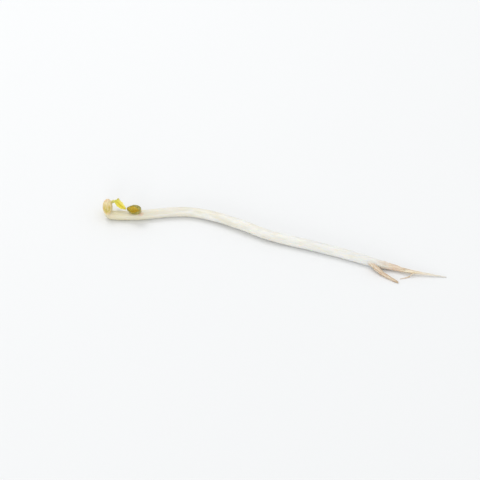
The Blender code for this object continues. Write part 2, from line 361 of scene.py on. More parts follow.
@dataclass(frozen=True)
class StemSkin(Finish):
    """Moist white stem that turns tan and brown along the taproot, and cream on the shoot stalk."""

    label: str = "stem skin"
    roughness: float = 0.28
    roughening: float = 0.22
    coat: float = 0.12
    inner_light: float = 0.5
    inner_reach: float = 1.8 * MM
    inner_tint: Colour = (1.0, 0.86, 0.62)
    grain: Grain = (5.0, 4.0)
    graininess: float = 0.35
    relief: float = 0.05 * MM
    relief_strength: float = 0.55
    seat: Place = (0.0, 0.0, 0.0)
    shoot_end: float = 130 * MM
    hook_start: float = 118 * MM
    cloud: Streak = Streak(0.7, 11 * MM)
    fibre: Streak = Streak(5.0, 7 * MM, 1.6)
    ivory: Colour = (0.74, 0.71, 0.62)
    white: Coat = Coat((0.75, 0.75, 0.73), 70 * MM, 38 * MM)
    white_wander: float = 60 * MM
    bright: Coat = Coat((0.80, 0.80, 0.77), 0.38, 0.68)
    glassy: Coat = Coat((0.67, 0.68, 0.61), 0.50, 0.72, 0.5)
    glaze: Streak = Streak(1.1, 4 * MM, 1.2)
    stain: Coat = Coat((0.69, 0.63, 0.43), 0.52, 0.80, 0.45)
    blotch: Coat = Coat((0.69, 0.63, 0.43), 0.56, 0.74, 0.40)
    blotches: Streak = Streak(0.9, 6 * MM, 1.1)
    bruise: Coat = Coat((0.70, 0.50, 0.36), 0.69, 0.80, 0.30)
    bruises: Streak = Streak(1.8, 1.8 * MM)
    hook: Coat = Coat((0.66, 0.60, 0.36), -22 * MM, -2 * MM)
    hook_cover: Cover = (0.40, 0.45)
    scuff: Coat = Coat((0.70, 0.50, 0.36), 1.1 * MM, 0.33 * MM, 0.6)
    scuffs: Streak = Streak(1.5, 1.5 * MM, 1.5)
    scuff_wander: float = 2.75 * MM
    blush: Coat = Coat((0.80, 0.62, 0.44), -3 * MM, 0.0, 0.5)
    blushes: Streak = Streak(0.8, 2.5 * MM)
    blush_band: Band = (0.45, 0.62)
    stalk: Coat = Coat((0.76, 0.70, 0.42), 4 * MM, 7 * MM, 0.8)
    green: Coat = Coat((0.60, 0.58, 0.12), -2.6 * MM, -1.1 * MM, 0.85)
    greens: Streak = Streak(1.2, 1 * MM)
    green_wander: float = 1.4 * MM
    root: Colour = (0.62, 0.48, 0.35)
    root_pale: Coat = Coat((0.84, 0.75, 0.57), 0.40, 0.62)
    root_streaks: Streak = Streak(2.2, 5 * MM)
    root_cover: Cover = (0.70, 0.30)
    root_band: Band = (24.5 * MM, 14.5 * MM)
    root_edge: Streak = Streak(1.6, 8 * MM)
    root_wander: float = 10 * MM
    rust: Coat = Coat((0.62, 0.44, 0.32), 13 * MM, 18 * MM)
    rusts: Streak = Streak(1.5, 4 * MM)
    rust_band: Band = (0.40, 0.60)
    rust_cover: Cover = (0.35, 0.5)
    burnt: Coat = Coat((0.38, 0.29, 0.19), 0.50, 0.68, 0.9)
    scorches: Streak = Streak(2.6, 6 * MM, 1.4)
    scorch_band: Band = (3 * MM, 10 * MM)
    tip: Coat = Coat((0.66, 0.63, 0.58), 12 * MM, 2 * MM, 0.75)

    def paint(self, bench: SkinBench) -> tuple[Feed, Value, Value]:
        """See Finish."""
        skin = bench.separate(bench.attribute("skin"))
        along = skin[2]
        from_hook = along - self.hook_start
        cloud, fibre = self.cloud.over(*skin), self.fibre.over(*skin)
        places = {0: bench.place(), 1: self.seat}
        from_seat = bench.value("ShaderNodeVectorMath", {"operation": "DISTANCE"}, places, "Value")
        near_root = along.ragged(self.root_edge.over(*skin), self.root_wander).step(*self.root_band)
        rooty = bench.coated(self.root, self.root_pale.over(self.root_streaks.over(*skin)))
        rust_cover = self.rust_cover[0] + self.rust_cover[1] * self.rusts.over(*skin).step(*self.rust_band)
        colour = bench.coated(
            self.ivory,
            self.white.over(along.ragged(cloud, self.white_wander)),
            self.bright.over(cloud),
            self.glassy.over(self.glaze.over(*skin)),
            self.stain.over(fibre),
            self.blotch.over(self.blotches.over(*skin)),
            self.bruise.over(self.bruises.over(*skin)),
            self.hook.over(from_hook, self.hook_cover[0] + self.hook_cover[1] * fibre),
            self.scuff.over(from_seat.ragged(self.scuffs.over(*skin), self.scuff_wander)),
            self.blush.over(from_hook, self.blushes.over(*skin).step(*self.blush_band)),
            self.stalk.over(from_hook),
            self.green.over((along - self.shoot_end).ragged(self.greens.over(*skin), self.green_wander)),
            (near_root * (self.root_cover[0] + self.root_cover[1] * fibre), rooty),
            self.rust.over(along, near_root * rust_cover),
            self.burnt.over(self.scorches.over(*skin), near_root * along.step(*self.scorch_band)),
            self.tip.over(along),
        )
        return colour, fibre + near_root, self.grained(bench, fibre)


@dataclass(frozen=True)
class RootSkin(Finish):
    """Side root: orange-brown on tan, darker at its tip, and its host's colour where they meet."""

    label: str = "root skin"
    roughness: float = 0.45
    roughening: float = 0.3
    specular: float = 0.35
    inner_light: float = 0.25
    inner_reach: float = 0.5 * MM
    length: float = 5 * MM
    burning: float = 0.7
    host: Colour = (0.72, 0.69, 0.63)
    cloud: Streak = Streak(1.0, 1.8 * MM, 1.0, 4.0)
    streak: Streak = Streak(2.5, 2.5 * MM, 1.3)
    rings: Streak = Streak(0.6, 0.25 * MM, 1.0, 2.0)
    tan: Colour = (0.62, 0.46, 0.31)
    base: Coat = Coat((0.74, 0.66, 0.53), 0.35, 0.62)
    burnt: Coat = Coat((0.46, 0.27, 0.15), 0.42, 0.66)
    fused_band: Band = (0.10, 0.85)
    fused_wander: float = 0.6
    tip: Coat = Coat((0.46, 0.33, 0.20), 0.12, 0.0, 0.7)

    def paint(self, bench: SkinBench) -> tuple[Feed, Value, Value]:
        """See Finish."""
        skin = bench.separate(bench.attribute("skin"))
        cloud = self.cloud.over(*skin)
        grown_in = bench.number("fused").ragged(cloud, self.fused_wander).step(*self.fused_band)
        colour = bench.coated(
            self.tan,
            self.base.over(cloud),
            self.burnt.over(self.streak.over(*skin), self.burning),
            (grown_in, self.host),
            self.tip.over(skin[2] / self.length),
        )
        return colour, cloud, self.rings.over(*skin)


@dataclass(frozen=True)
class SeedLeafSkin(Finish):
    """A drying seed leaf: cream and tan, olive where it is still fleshy, brown at the margin."""

    label: str = "seed leaf skin"
    roughness: float = 0.42
    roughening: float = 0.25
    specular: float = 0.4
    coat: float = 0.08
    inner_light: float = 0.3
    inner_reach: float = 0.7 * MM
    inner_tint: Colour = (1.0, 0.7, 0.35)
    grain: Grain = (7.0, 3.0)
    graininess: float = 0.3
    relief: float = 0.07 * MM
    relief_strength: float = 0.7
    clouding: Grain = (1.6, 4.0)
    wrinkling: Grain = (1.2, 4.0)
    wrinkle_fineness: Triple = (7.0, 1.3, 3.0)
    spotting: Grain = (9.0, 2.0)
    cream: Colour = (0.78, 0.66, 0.38)
    tan: Coat = Coat((0.68, 0.52, 0.21), 0.36, 0.66)
    olive: Coat = Coat((0.55, 0.46, 0.08), -0.45, 0.55, 0.75)
    olive_wander: float = 1.4
    outer_band: Band = (0.0, 0.7)
    wrinkled: Coat = Coat((0.68, 0.52, 0.21), 0.52, 0.78, 0.40)
    blush: Coat = Coat((0.80, 0.68, 0.50), 0.35, 1.0, 0.7)
    blush_wander: float = 0.8
    margin: Coat = Coat((0.53, 0.36, 0.15), 0.22, 0.0, 0.35)
    margin_band: Band = (0.5, 0.9)
    spot: Coat = Coat((0.53, 0.36, 0.15), 0.66, 0.74, 0.35)

    def paint(self, bench: SkinBench) -> tuple[Feed, Value, Value]:
        """See Finish."""
        bean = bench.attribute("bean")
        across, along, outwards = bench.separate(bean)
        cloud = bench.noise(bean, *self.clouding)
        parts = (part * fine for part, fine in zip((across, along, outwards), self.wrinkle_fineness))
        wrinkle = bench.noise(bench.combine(*parts), *self.wrinkling)
        at_margin = (across * across + along * along).step(*self.margin_band)
        colour = bench.coated(
            self.cream,
            self.tan.over(cloud),
            self.olive.over((along * -1.0).ragged(cloud, self.olive_wander), outwards.step(*self.outer_band)),
            self.wrinkled.over(wrinkle),
            self.blush.over(along.ragged(cloud, self.blush_wander)),
            self.margin.over(abs(outwards), at_margin),
            self.spot.over(bench.noise(bean, *self.spotting)),
        )
        return colour, wrinkle, self.grained(bench, wrinkle)


@dataclass(frozen=True)
class LeafSkin(Finish):
    """A tender first leaf: bright yellow, olive along its fold (the midrib's tone with painted shade of the
    groove) and green towards its stalk.
    """

    label: str = "leaf skin"
    roughness: float = 0.40
    specular: float = 0.4
    coat: float = 0.1
    inner_light: float = 0.35
    inner_reach: float = 0.5 * MM
    inner_tint: Colour = (1.0, 0.85, 0.25)
    grain: Grain = (9.0, 3.0)
    relief_strength: float = 0.6
    greening: float = 0.6
    clouding: Grain = (2.2, 4.0)
    lit: Colour = (0.80, 0.69, 0.07)
    deep: Coat = Coat((0.72, 0.57, 0.03), 0.35, 0.68)
    # pale: a lighter yellow over one half of the blade, a painted highlight where light falls on that half
    pale: Coat = Coat((0.84, 0.74, 0.30), 0.1, 0.9, 0.55)
    green: Coat = Coat((0.50, 0.51, 0.05), 0.50, 0.02)
    green_wander: float = 0.5
    vein: Colour = (0.88, 0.80, 0.26)
    vein_cover: float = 0.30
    # olive: darker along the midrib groove on the upper face only, the midrib's own olive with painted shade
    # of the fold
    olive: Coat = Coat((0.52, 0.43, 0.05), 0.30, 0.04, 0.7)
    olive_wander: float = 0.12
    olive_end: Band = (1.0, 0.75)
    upper_band: Band = (-0.2, 0.2)
    stalk: Coat = Coat((0.80, 0.76, 0.40), 0.03, 0.0, 0.6)

    def paint(self, bench: SkinBench) -> tuple[Feed, Value, Value]:
        """See Finish."""
        blade = bench.attribute("blade")
        across, along, upper = bench.separate(blade)
        vein = bench.number("vein")
        cloud = bench.noise(blade, *self.clouding)
        # Painted shade: the olive is kept to the midrib groove on the upper face, where the fold is in shade.
        fold_shade = along.step(*self.olive_end) * upper.step(*self.upper_band)
        colour = bench.coated(
            self.lit,
            self.deep.over(cloud),
            # Painted highlight: one half of the blade is paler, as if the light falls on it.
            self.pale.over(across),
            self.green.over(along.ragged(cloud, self.green_wander), self.greening),
            (vein * self.vein_cover, self.vein),
            self.olive.over(abs(across.ragged(cloud, self.olive_wander)), fold_shade),
            self.stalk.over(along),
        )
        return colour, bench.grain(*self.grain), self.grained(bench, vein)


@dataclass(frozen=True)
class BudSkin(Finish):
    """The pale yellow-green growing tip."""

    label: str = "bud skin"
    roughness: float = 0.45
    specular: float = 0.4
    inner_light: float = 0.35
    inner_reach: float = 0.4 * MM
    grain: Grain = (2.5, 4.0)
    pale: Colour = (0.80, 0.72, 0.28)
    green: Coat = Coat((0.48, 0.50, 0.12), 0.4, 0.65)

    def paint(self, bench: SkinBench) -> tuple[Feed, Value, Value]:
        """See Finish."""
        cloud = bench.grain(*self.grain)
        return bench.coated(self.pale, self.green.over(cloud)), cloud, cloud


@dataclass(frozen=True)
class HuskSkin(Finish):
    """The seed coat: olive and streaked from end to end outside, with a golden-brown lining."""

    label: str = "husk skin"
    roughness: float = 0.34
    roughening: float = 0.25
    specular: float = 0.4
    coat: float = 0.10
    inner_light: float = 0.25
    inner_reach: float = 0.4 * MM
    graininess: float = 0.4
    relief: float = 0.05 * MM
    relief_strength: float = 0.6
    streak: Streak = Streak(5.0, 1.0 / 1.4, 1.5, 4.0)
    cloud: Streak = Streak(1.0, 1.0, 1.3, 4.0)
    body: Colour = (0.27, 0.235, 0.035)
    light: Coat = Coat((0.43, 0.38, 0.085), 0.38, 0.64)
    dark: Coat = Coat((0.10, 0.09, 0.014), 0.50, 0.72, 0.55)
    torn: Coat = Coat((0.62, 0.47, 0.24), 0.76, 0.93, 0.6)
    torn_wander: float = 0.3
    torn_band: Band = (-0.45, -0.85)
    scar_rim: Coat = Coat((0.10, 0.09, 0.014), 0.10, 0.30)
    scar: Coat = Coat((0.86, 0.80, 0.66), 0.45, 0.60)
    lining: Colour = (0.86, 0.68, 0.075)
    lining_dark: Coat = Coat((0.52, 0.38, 0.03), 0.40, 0.70, 0.7)
    lip: Coat = Coat((0.20, 0.17, 0.025), 0.25, 0.9, 0.8)

    def paint(self, bench: SkinBench) -> tuple[Feed, Value, Value]:
        """See Finish."""
        turn_x, turn_y, along = bench.separate(bench.attribute("husk"))
        girth = (1.0 - along * along).most(0.0) ** 0.5
        place = (turn_x * girth, turn_y * girth, along)
        streak, cloud = self.streak.over(*place), self.cloud.over(*place)
        scar = bench.number("scar")
        outside = bench.coated(
            self.body,
            self.light.over(cloud),
            self.dark.over(streak),
            self.torn.over(along.ragged(cloud, self.torn_wander), turn_y.step(*self.torn_band)),
            self.scar_rim.over(scar),
            self.scar.over(scar),
        )
        inside = bench.coated(self.lining, self.lining_dark.over(streak))
        lip = self.lip.over(bench.number("lip"))
        colour = bench.coated(outside, (bench.number("lining"), inside), lip)
        return colour, streak, self.grained(bench, streak)


@dataclass(frozen=True)
class PaleFloor(Finish):
    """A plain white studio floor with the faintest tooth."""

    label: str = "pale floor"
    roughness: float = 0.9
    roughening: float = 0.05
    specular: float = 0.15
    grain: Grain = (0.8, 2.0)
    relief: float = 0.01 * MM
    relief_strength: float = 0.2
    white: Colour = (0.86, 0.866, 0.87)
    shade: Colour = (0.835, 0.842, 0.848)
    clouds_to_metre: float = 3.0
    cloud_octaves: float = 3.0

    def paint(self, bench: SkinBench) -> tuple[Feed, Value, Value]:
        """See Finish."""
        cloud = bench.noise(bench.place(self.clouds_to_metre), 1.0, self.cloud_octaves)
        tooth = bench.grain(*self.grain)
        return bench.coated(self.white, (cloud, self.shade)), tooth, tooth


# ---- Measuring the CAD, and arrays of points ----


def unit(vectors: np.ndarray) -> np.ndarray:
    """Vectors of length one along the last axis."""
    return vectors / np.maximum(np.linalg.norm(vectors, axis=-1, keepdims=True), 1e-12)


def stacked(*parts: np.ndarray | float) -> np.ndarray:
    """Vectors from arrays of x, y and z that fit one another."""
    return np.stack(np.broadcast_arrays(*parts), axis=-1)


def turns_round(count: int) -> np.ndarray:
    """Even angles, all the way round."""
    return 2.0 * math.pi * np.arange(count) / count


def globe(lift: np.ndarray, turn: np.ndarray) -> np.ndarray:
    """Directions from the angle off the low end of a long axis and the turn round it."""
    return stacked(-np.cos(lift), np.sin(lift) * np.cos(turn), np.sin(lift) * np.sin(turn))


def bell(values: np.ndarray, width: float | np.ndarray) -> np.ndarray:
    """1 where the values are 0, falling away on both sides over a width."""
    return np.exp(-((values / width) ** 2))


def eased(values: np.ndarray, low: float, high: float) -> np.ndarray:
    """A smooth step of an array, 0 at low and 1 at high, where low may be above high."""
    share = np.clip((values - low) / (high - low), 0.0, 1.0)
    return share * share * (3.0 - 2.0 * share)


def curved(
    share: np.ndarray, start: np.ndarray, bend: np.ndarray, aim: np.ndarray, end: np.ndarray
) -> np.ndarray:
    """Points of a cubic curve, where share is a column of places along it from 0 to 1."""
    rest = 1.0 - share
    return rest**3 * start + 3.0 * share * rest**2 * bend + 3.0 * share**2 * rest * aim + share**3 * end


def softened(values: np.ndarray, width: float, wrap: bool = False) -> np.ndarray:
    """Smooths an array along its first axis.

    Args:
        values: the array.
        width: the Gaussian's sigma, in rows.
        wrap: whether the last row meets the first; if it doesn't, both ends stay where they are.

    Returns:
        The smoothed array.
    """
    reach = min(int(math.ceil(3.0 * width)), len(values) - 1)
    if reach < 1:
        return values
    kernel = np.exp(-0.5 * (np.arange(-reach, reach + 1) / width) ** 2)
    kernel /= kernel.sum()
    margins = [(reach, reach)] + [(0, 0)] * (values.ndim - 1)
    ends = {"mode": "wrap"} if wrap else {"mode": "reflect", "reflect_type": "odd"}
    padded = np.pad(values, margins, **ends)
    return sum(share * padded[k : k + len(values)] for k, share in enumerate(kernel))


def clouds(points: np.ndarray, octaves: int, seed: float) -> np.ndarray:
    """Cloudy noise.

    Args:
        points: any array of points, with x, y and z on its last axis.
        octaves: layers of noise, each twice as fine.
        seed: shifts the points to another part of the noise.

    Returns:
        The noise, from about -1 to 1, with one value for each point.
    """
    shift = Vector(SEED_SHIFT) * seed
    found = [noise.fractal(Vector(point) + shift, 1.0, 2.0, octaves) for point in points.reshape(-1, 3)]
    return np.array(found).reshape(points.shape[:-1])


@dataclass(frozen=True)
class Axes:
    """A piece's own frame: its middle, its long, wide and thin axes as rows, and its half extents."""

    middle: np.ndarray
    turns: np.ndarray
    half: np.ndarray

    def out(self, local: np.ndarray) -> np.ndarray:
        """Points of this frame in the shared one."""
        return self.middle + local @ self.turns

    def into(self, points: np.ndarray) -> np.ndarray:
        """Points of the shared frame in this one."""
        return (points - self.middle) @ self.turns.T

    def aimed(self, long_to: np.ndarray, thin_to: np.ndarray) -> "Axes":
        """The same axes with their signs settled.

        Args:
            long_to: a point on the side that the long axis is to face.
            thin_to: the same for the thin axis.

        Returns:
            A right-handed frame.
        """
        long_axis, _, thin_axis = self.turns
        if (long_to - self.middle) @ long_axis < 0.0:
            long_axis = -long_axis
        if (thin_to - self.middle) @ thin_axis < 0.0:
            thin_axis = -thin_axis
        return Axes(self.middle, np.array((long_axis, np.cross(thin_axis, long_axis), thin_axis)), self.half)


class Skin:
    """A CAD node's surface, for measuring."""

    WELD = 1e-6
    FAR = 50 * MM

    def __init__(self, node: str) -> None:
        """Reads a CAD node.

        Args:
            node: its name.
        """
        bm = bmesh.new()
        bm.from_mesh(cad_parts[node].data)
        bmesh.ops.remove_doubles(bm, verts=bm.verts, dist=self.WELD)
        self.tree = BVHTree.FromBMesh(bm)
        self.points = np.array([vert.co for vert in bm.verts])
        bm.free()

    def reach(self, start: np.ndarray, way: np.ndarray, limit: float = FAR) -> float | None:
        """How far a ray goes before it meets the surface, or None if it doesn't within the limit."""
        return self.tree.ray_cast(Vector(start), Vector(way), limit)[3]

    def axes(self, turns: np.ndarray | None = None) -> Axes:
        """A frame in the middle of the node's extents.

        Args:
            turns: its axes as rows. Without them, they are the node's own long, wide and thin ones.

        Returns:
            The frame.
        """
        mean = self.points.mean(axis=0)
        if turns is None:
            turns = np.linalg.eigh(np.cov((self.points - mean).T))[1][:, ::-1].T
        local = (self.points - mean) @ turns.T
        low, high = local.min(axis=0), local.max(axis=0)
        return Axes(mean + 0.5 * (low + high) @ turns, turns, 0.5 * (high - low))


@dataclass
class Path:
    """The middle line of something grown: points with a radius at each."""

    middles: np.ndarray
    radii: np.ndarray
    DOME_GAP: ClassVar[float] = 0.3

    @property
    def reach(self) -> np.ndarray:
        """The distance of each point from the first, along the line."""
        steps = np.linalg.norm(np.diff(self.middles, axis=0), axis=1)
        return np.concatenate(([0.0], np.cumsum(steps)))

    def resampled(self, step: float) -> "Path":
        """The same line with even points.

        Args:
            step: how far apart they are.

        Returns:
            The line.
        """
        reach = self.reach
        even = np.linspace(0.0, reach[-1], max(4, round(reach[-1] / step) + 1))
        middles = np.stack([np.interp(even, reach, column) for column in self.middles.T], axis=1)
        return Path(middles, np.interp(even, reach, self.radii))

    def smoothed(self, width: float) -> "Path":
        """The same line with its corners rounded over a number of points."""
        return Path(softened(self.middles, width), softened(self.radii, width))

    def nearest(self, point: np.ndarray) -> int:
        """The index of the line's nearest point."""
        return int(np.argmin(np.linalg.norm(self.middles - point, axis=1)))

    def domed(self, steps: int) -> "Path":
        """The same line with a dome added at both ends.

        Args:
            steps: points in each dome.

        Returns:
            The line, with the radius running out at its ends.
        """
        middles, radii = self.middles, self.radii
        turns = 0.5 * math.pi * np.arange(1, steps + 1) / (steps + self.DOME_GAP)
        for _ in range(2):
            ahead = unit(middles[-1] - middles[-2])
            middles = np.concatenate((middles, middles[-1] + ahead * (radii[-1] * np.sin(turns))[:, None]))
            radii = np.concatenate((radii, radii[-1] * np.cos(turns)))
            middles, radii = middles[::-1], radii[::-1]
        return Path(middles, radii)


@dataclass(frozen=True)
class TubeTracer:
    """Walks inside a tube from a tip, keeping to its middle."""

    stride: float = 0.25 * MM
    spokes: int = 18
    centrings: int = 3
    start_sphere: float = 1.2 * MM
    first_step: float = 0.3 * MM
    stop_share: float = 0.9
    most_steps: int = 2000
    level: Place = (0.0, 0.3, 1.0)

    def trace(self, skin: Skin, tip: np.ndarray) -> Path:
        """Finds a tube's middle line and radius.

        Args:
            skin: the tube.
            tip: the vertex at its tip.

        Returns:
            The line from the tip to the other end.
        """
        near = skin.points[np.linalg.norm(skin.points - tip, axis=1) < self.start_sphere]
        way = unit(near.mean(axis=0) - tip)
        place = tip + way * self.first_step
        middles, radii = [], []
        for _ in range(self.most_steps):
            place, radius = self.centred(skin, place, way)
            if middles:
                way = unit(0.5 * way + 0.5 * unit(place - middles[-1]))
            middles.append(place)
            radii.append(radius)
            ahead = skin.reach(place, way)
            if ahead is not None and ahead < self.stop_share * radius:
                break
            place = place + way * min(self.stride, radius)
        end = middles[-1] + way * max(0.0, (skin.reach(middles[-1], way) or 0.0) - radii[-1])
        return Path(np.array(middles + [end]), np.array(radii + [radii[-1]]))

    def centred(self, skin: Skin, place: np.ndarray, way: np.ndarray) -> tuple[np.ndarray, float]:
        """Moves a point to the middle of the tube's section.

        Args:
            skin: the tube.
            place: a point inside it.
            way: the tube's direction there.

        Returns:
            The middle and the mean radius.
        """
        side = unit(np.cross(way, self.level))
        turns = turns_round(self.spokes)[:, None]
        spokes = np.cos(turns) * side + np.sin(turns) * np.cross(way, side)
        radius = 0.0
        for _ in range(self.centrings):
            reaches = [skin.reach(place, spoke) for spoke in spokes]
            known = [(reach, spoke) for reach, spoke in zip(reaches, spokes) if reach is not None]
            radius = float(np.mean([reach for reach, _ in known]))
            place = np.mean([place + spoke * reach for reach, spoke in known], axis=0)
        return place, radius


# ---- Making meshes ----


def placed(name: str, data: bpy.types.ID) -> bpy.types.Object:
    """Makes an object of the scene.

    Args:
        name: its name.
        data: its mesh, light or camera.

    Returns:
        The object.
    """
    made = bpy.data.objects.new(name, data)
    bpy.context.scene.collection.objects.link(made)
    return made


def turned_out(mesh: bpy.types.Mesh) -> None:
    """Turns the faces of a mesh of closed bodies outwards.

    Args:
        mesh: the mesh.
    """
    bm = bmesh.new()
    bm.from_mesh(mesh)
    bmesh.ops.recalc_face_normals(bm, faces=bm.faces)
    bm.to_mesh(mesh)
    bm.free()


def over_and_under(upper: np.ndarray, lower: np.ndarray) -> np.ndarray:
    """Rings that go across an upper sheet and back under it across a lower one with the same edges."""
    return np.concatenate((upper, lower[:, -2:0:-1]), axis=1)


@dataclass
class RingedBody:
    """A closed body laid out as rings, each joined to the next and the ends closed by fans."""

    rings: np.ndarray
    attributes: dict[str, np.ndarray]

    def faces(self, first: int) -> list[tuple[int, ...]]:
        """The body's faces.

        Args:
            first: the index of its first point.

        Returns:
            Each face as the indices of its points.
        """
        rows, columns = self.rings.shape[:2]
        start = first + rows * columns
        last = start - columns
        found: list[tuple[int, ...]] = []
        for base in range(first, last, columns):
            for k in range(columns):
                after = (k + 1) % columns
                found.append((base + k, base + after, base + columns + after, base + columns + k))
        for k in range(columns):
            after = (k + 1) % columns
            found.append((first + after, first + k, start))
            found.append((last + k, last + after, start + 1))
        return found

    @staticmethod
    def listed(values: np.ndarray) -> np.ndarray:
        """What the rings' points hold, then what both poles hold, as one list."""
        flat = values.reshape(-1, *values.shape[2:])
        return np.concatenate((flat, [values[0].mean(0)], [values[-1].mean(0)]))


class Workshop:
    """Turns bodies and paths into plain mesh objects of the frame."""

    def __init__(self) -> None:
        """Sets up the tree that grows tubes."""
        self.grower = TubeGrower()

    @staticmethod
    def write(mesh: bpy.types.Mesh, name: str, values: np.ndarray) -> None:
        """Stores a number or a vector for each vertex.

        Args:
            mesh: the mesh.
            name: the attribute's name.
            values: one row for each vertex.
        """
        kind, field = ("FLOAT_VECTOR", "vector") if values.ndim == 2 else ("FLOAT", "value")
        made = mesh.attributes.new(name, kind, "POINT")
        made.data.foreach_set(field, np.ascontiguousarray(values, dtype=np.float32).ravel())

    def body(self, name: str, bodies: Sequence[RingedBody]) -> bpy.types.Object:
        """Makes one object of several closed bodies.

        Args:
            name: the object's name.
            bodies: the bodies, all with the same attributes.

        Returns:
            The object, smooth, with its faces turned outwards.
        """
        points: list[np.ndarray] = []
        faces: list[tuple[int, ...]] = []
        for part in bodies:
            faces += part.faces(sum(map(len, points)))
            points.append(part.listed(part.rings))
        mesh = bpy.data.meshes.new(name)
        mesh.from_pydata(np.concatenate(points).tolist(), [], faces)
        for key in bodies[0].attributes:
            self.write(mesh, key, np.concatenate([part.listed(part.attributes[key]) for part in bodies]))
        turned_out(mesh)
        mesh.shade_smooth()
        return placed(name, mesh)

    def tube(self, name: str, path: Path, finish: Finish, growth: "Growth") -> bpy.types.Object:
        """Grows a tube along a middle line.

        Args:
            name: the object's name.
            path: the line, with its domes.
            finish: the skin's surface.
            growth: how the skin grows.

        Returns:
            The object.
        """
        mesh = bpy.data.meshes.new(name)
        mesh.from_pydata(path.middles.tolist(), [(k, k + 1) for k in range(len(path.radii) - 1)], [])
        self.write(mesh, "girth", path.radii)
        self.write(mesh, "reach", path.reach)
        piece = placed(name, mesh)
        self.grower.grow(piece, finish, growth)
        return piece

    def finished(self, piece: bpy.types.Object, finish: Finish, slot: Slot, *nodes: str) -> None:
        """Dresses a piece and ties it to the frame.

        Args:
            piece: the piece.
            finish: its surface.
            slot: the record's slot for this piece; it is not used.
            *nodes: the CAD nodes that it stands for.
        """
        piece.data.materials.clear()
        piece.data.materials.append(finish.material())
        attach(piece, BODY)
        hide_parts(*nodes)
        log.info("%s: %d faces", piece.name, len(piece.data.polygons))


class GrowBench(Bench):
    """A Geometry Nodes tree with named inputs."""

    def __init__(self, name: str, inputs: Mapping[str, str]) -> None:
        """Makes the tree.

        Args:
            name: its name.
            inputs: each input's socket type, by its name.
        """
        tree = bpy.data.node_groups.new(name, "GeometryNodeTree")
        super().__init__(tree)
        for way in ("INPUT", "OUTPUT"):
            tree.interface.new_socket("Geometry", in_out=way, socket_type="NodeSocketGeometry")
        self.identifiers: dict[str, str] = {}
        for key, kind in inputs.items():
            made = tree.interface.new_socket(key, in_out="INPUT", socket_type=kind)
            self.identifiers[key] = made.identifier
        self.entry = self.node("NodeGroupInput")

    def given(self, name: str) -> Value:
        """One of the tree's inputs."""
        return Value(self, self.entry.outputs[name])

    def number(self, name: str) -> Value:
        """A number that the geometry carries."""
        return self.value(
            "GeometryNodeInputNamedAttribute", {"data_type": "FLOAT"}, {"Name": name}, "Attribute"
        )

    def store(self, geometry: Feed, name: str, value: Feed, kind: str) -> bpy.types.NodeSocket:
        """Stores an attribute on the geometry's points.

        Args:
            geometry: the geometry.
            name: the attribute's name.
            value: what is stored.
            kind: its data type.

        Returns:
            The geometry that carries it.
        """
        settings = {"data_type": kind, "domain": "POINT"}
        inputs = {"Geometry": geometry, "Name": name, "Value": value}
        return self.link("GeometryNodeStoreNamedAttribute", settings, inputs)

    def moved(self, geometry: Feed, **inputs: Feed) -> bpy.types.NodeSocket:
        """The geometry with its points moved, by Position or by Offset."""
        return self.link("GeometryNodeSetPosition", None, {"Geometry": geometry, **inputs})


@dataclass(frozen=True)
class Growth:
    """How a tube's skin grows: lengths are along it, and depths are shares of its radius."""

    sides: int
    seed: float
    fibres: float
    fibre_length: float
    fibre_depth: float
    lump_length: float
    lump_depth: float
    wrinkle_length: float
    wrinkle_depth: float
    wrinkled_until: float

    @staticmethod
    def named(field: str) -> str:
        """The name that one of these sizes has among the tree's inputs."""
        return field.replace("_", " ").title()


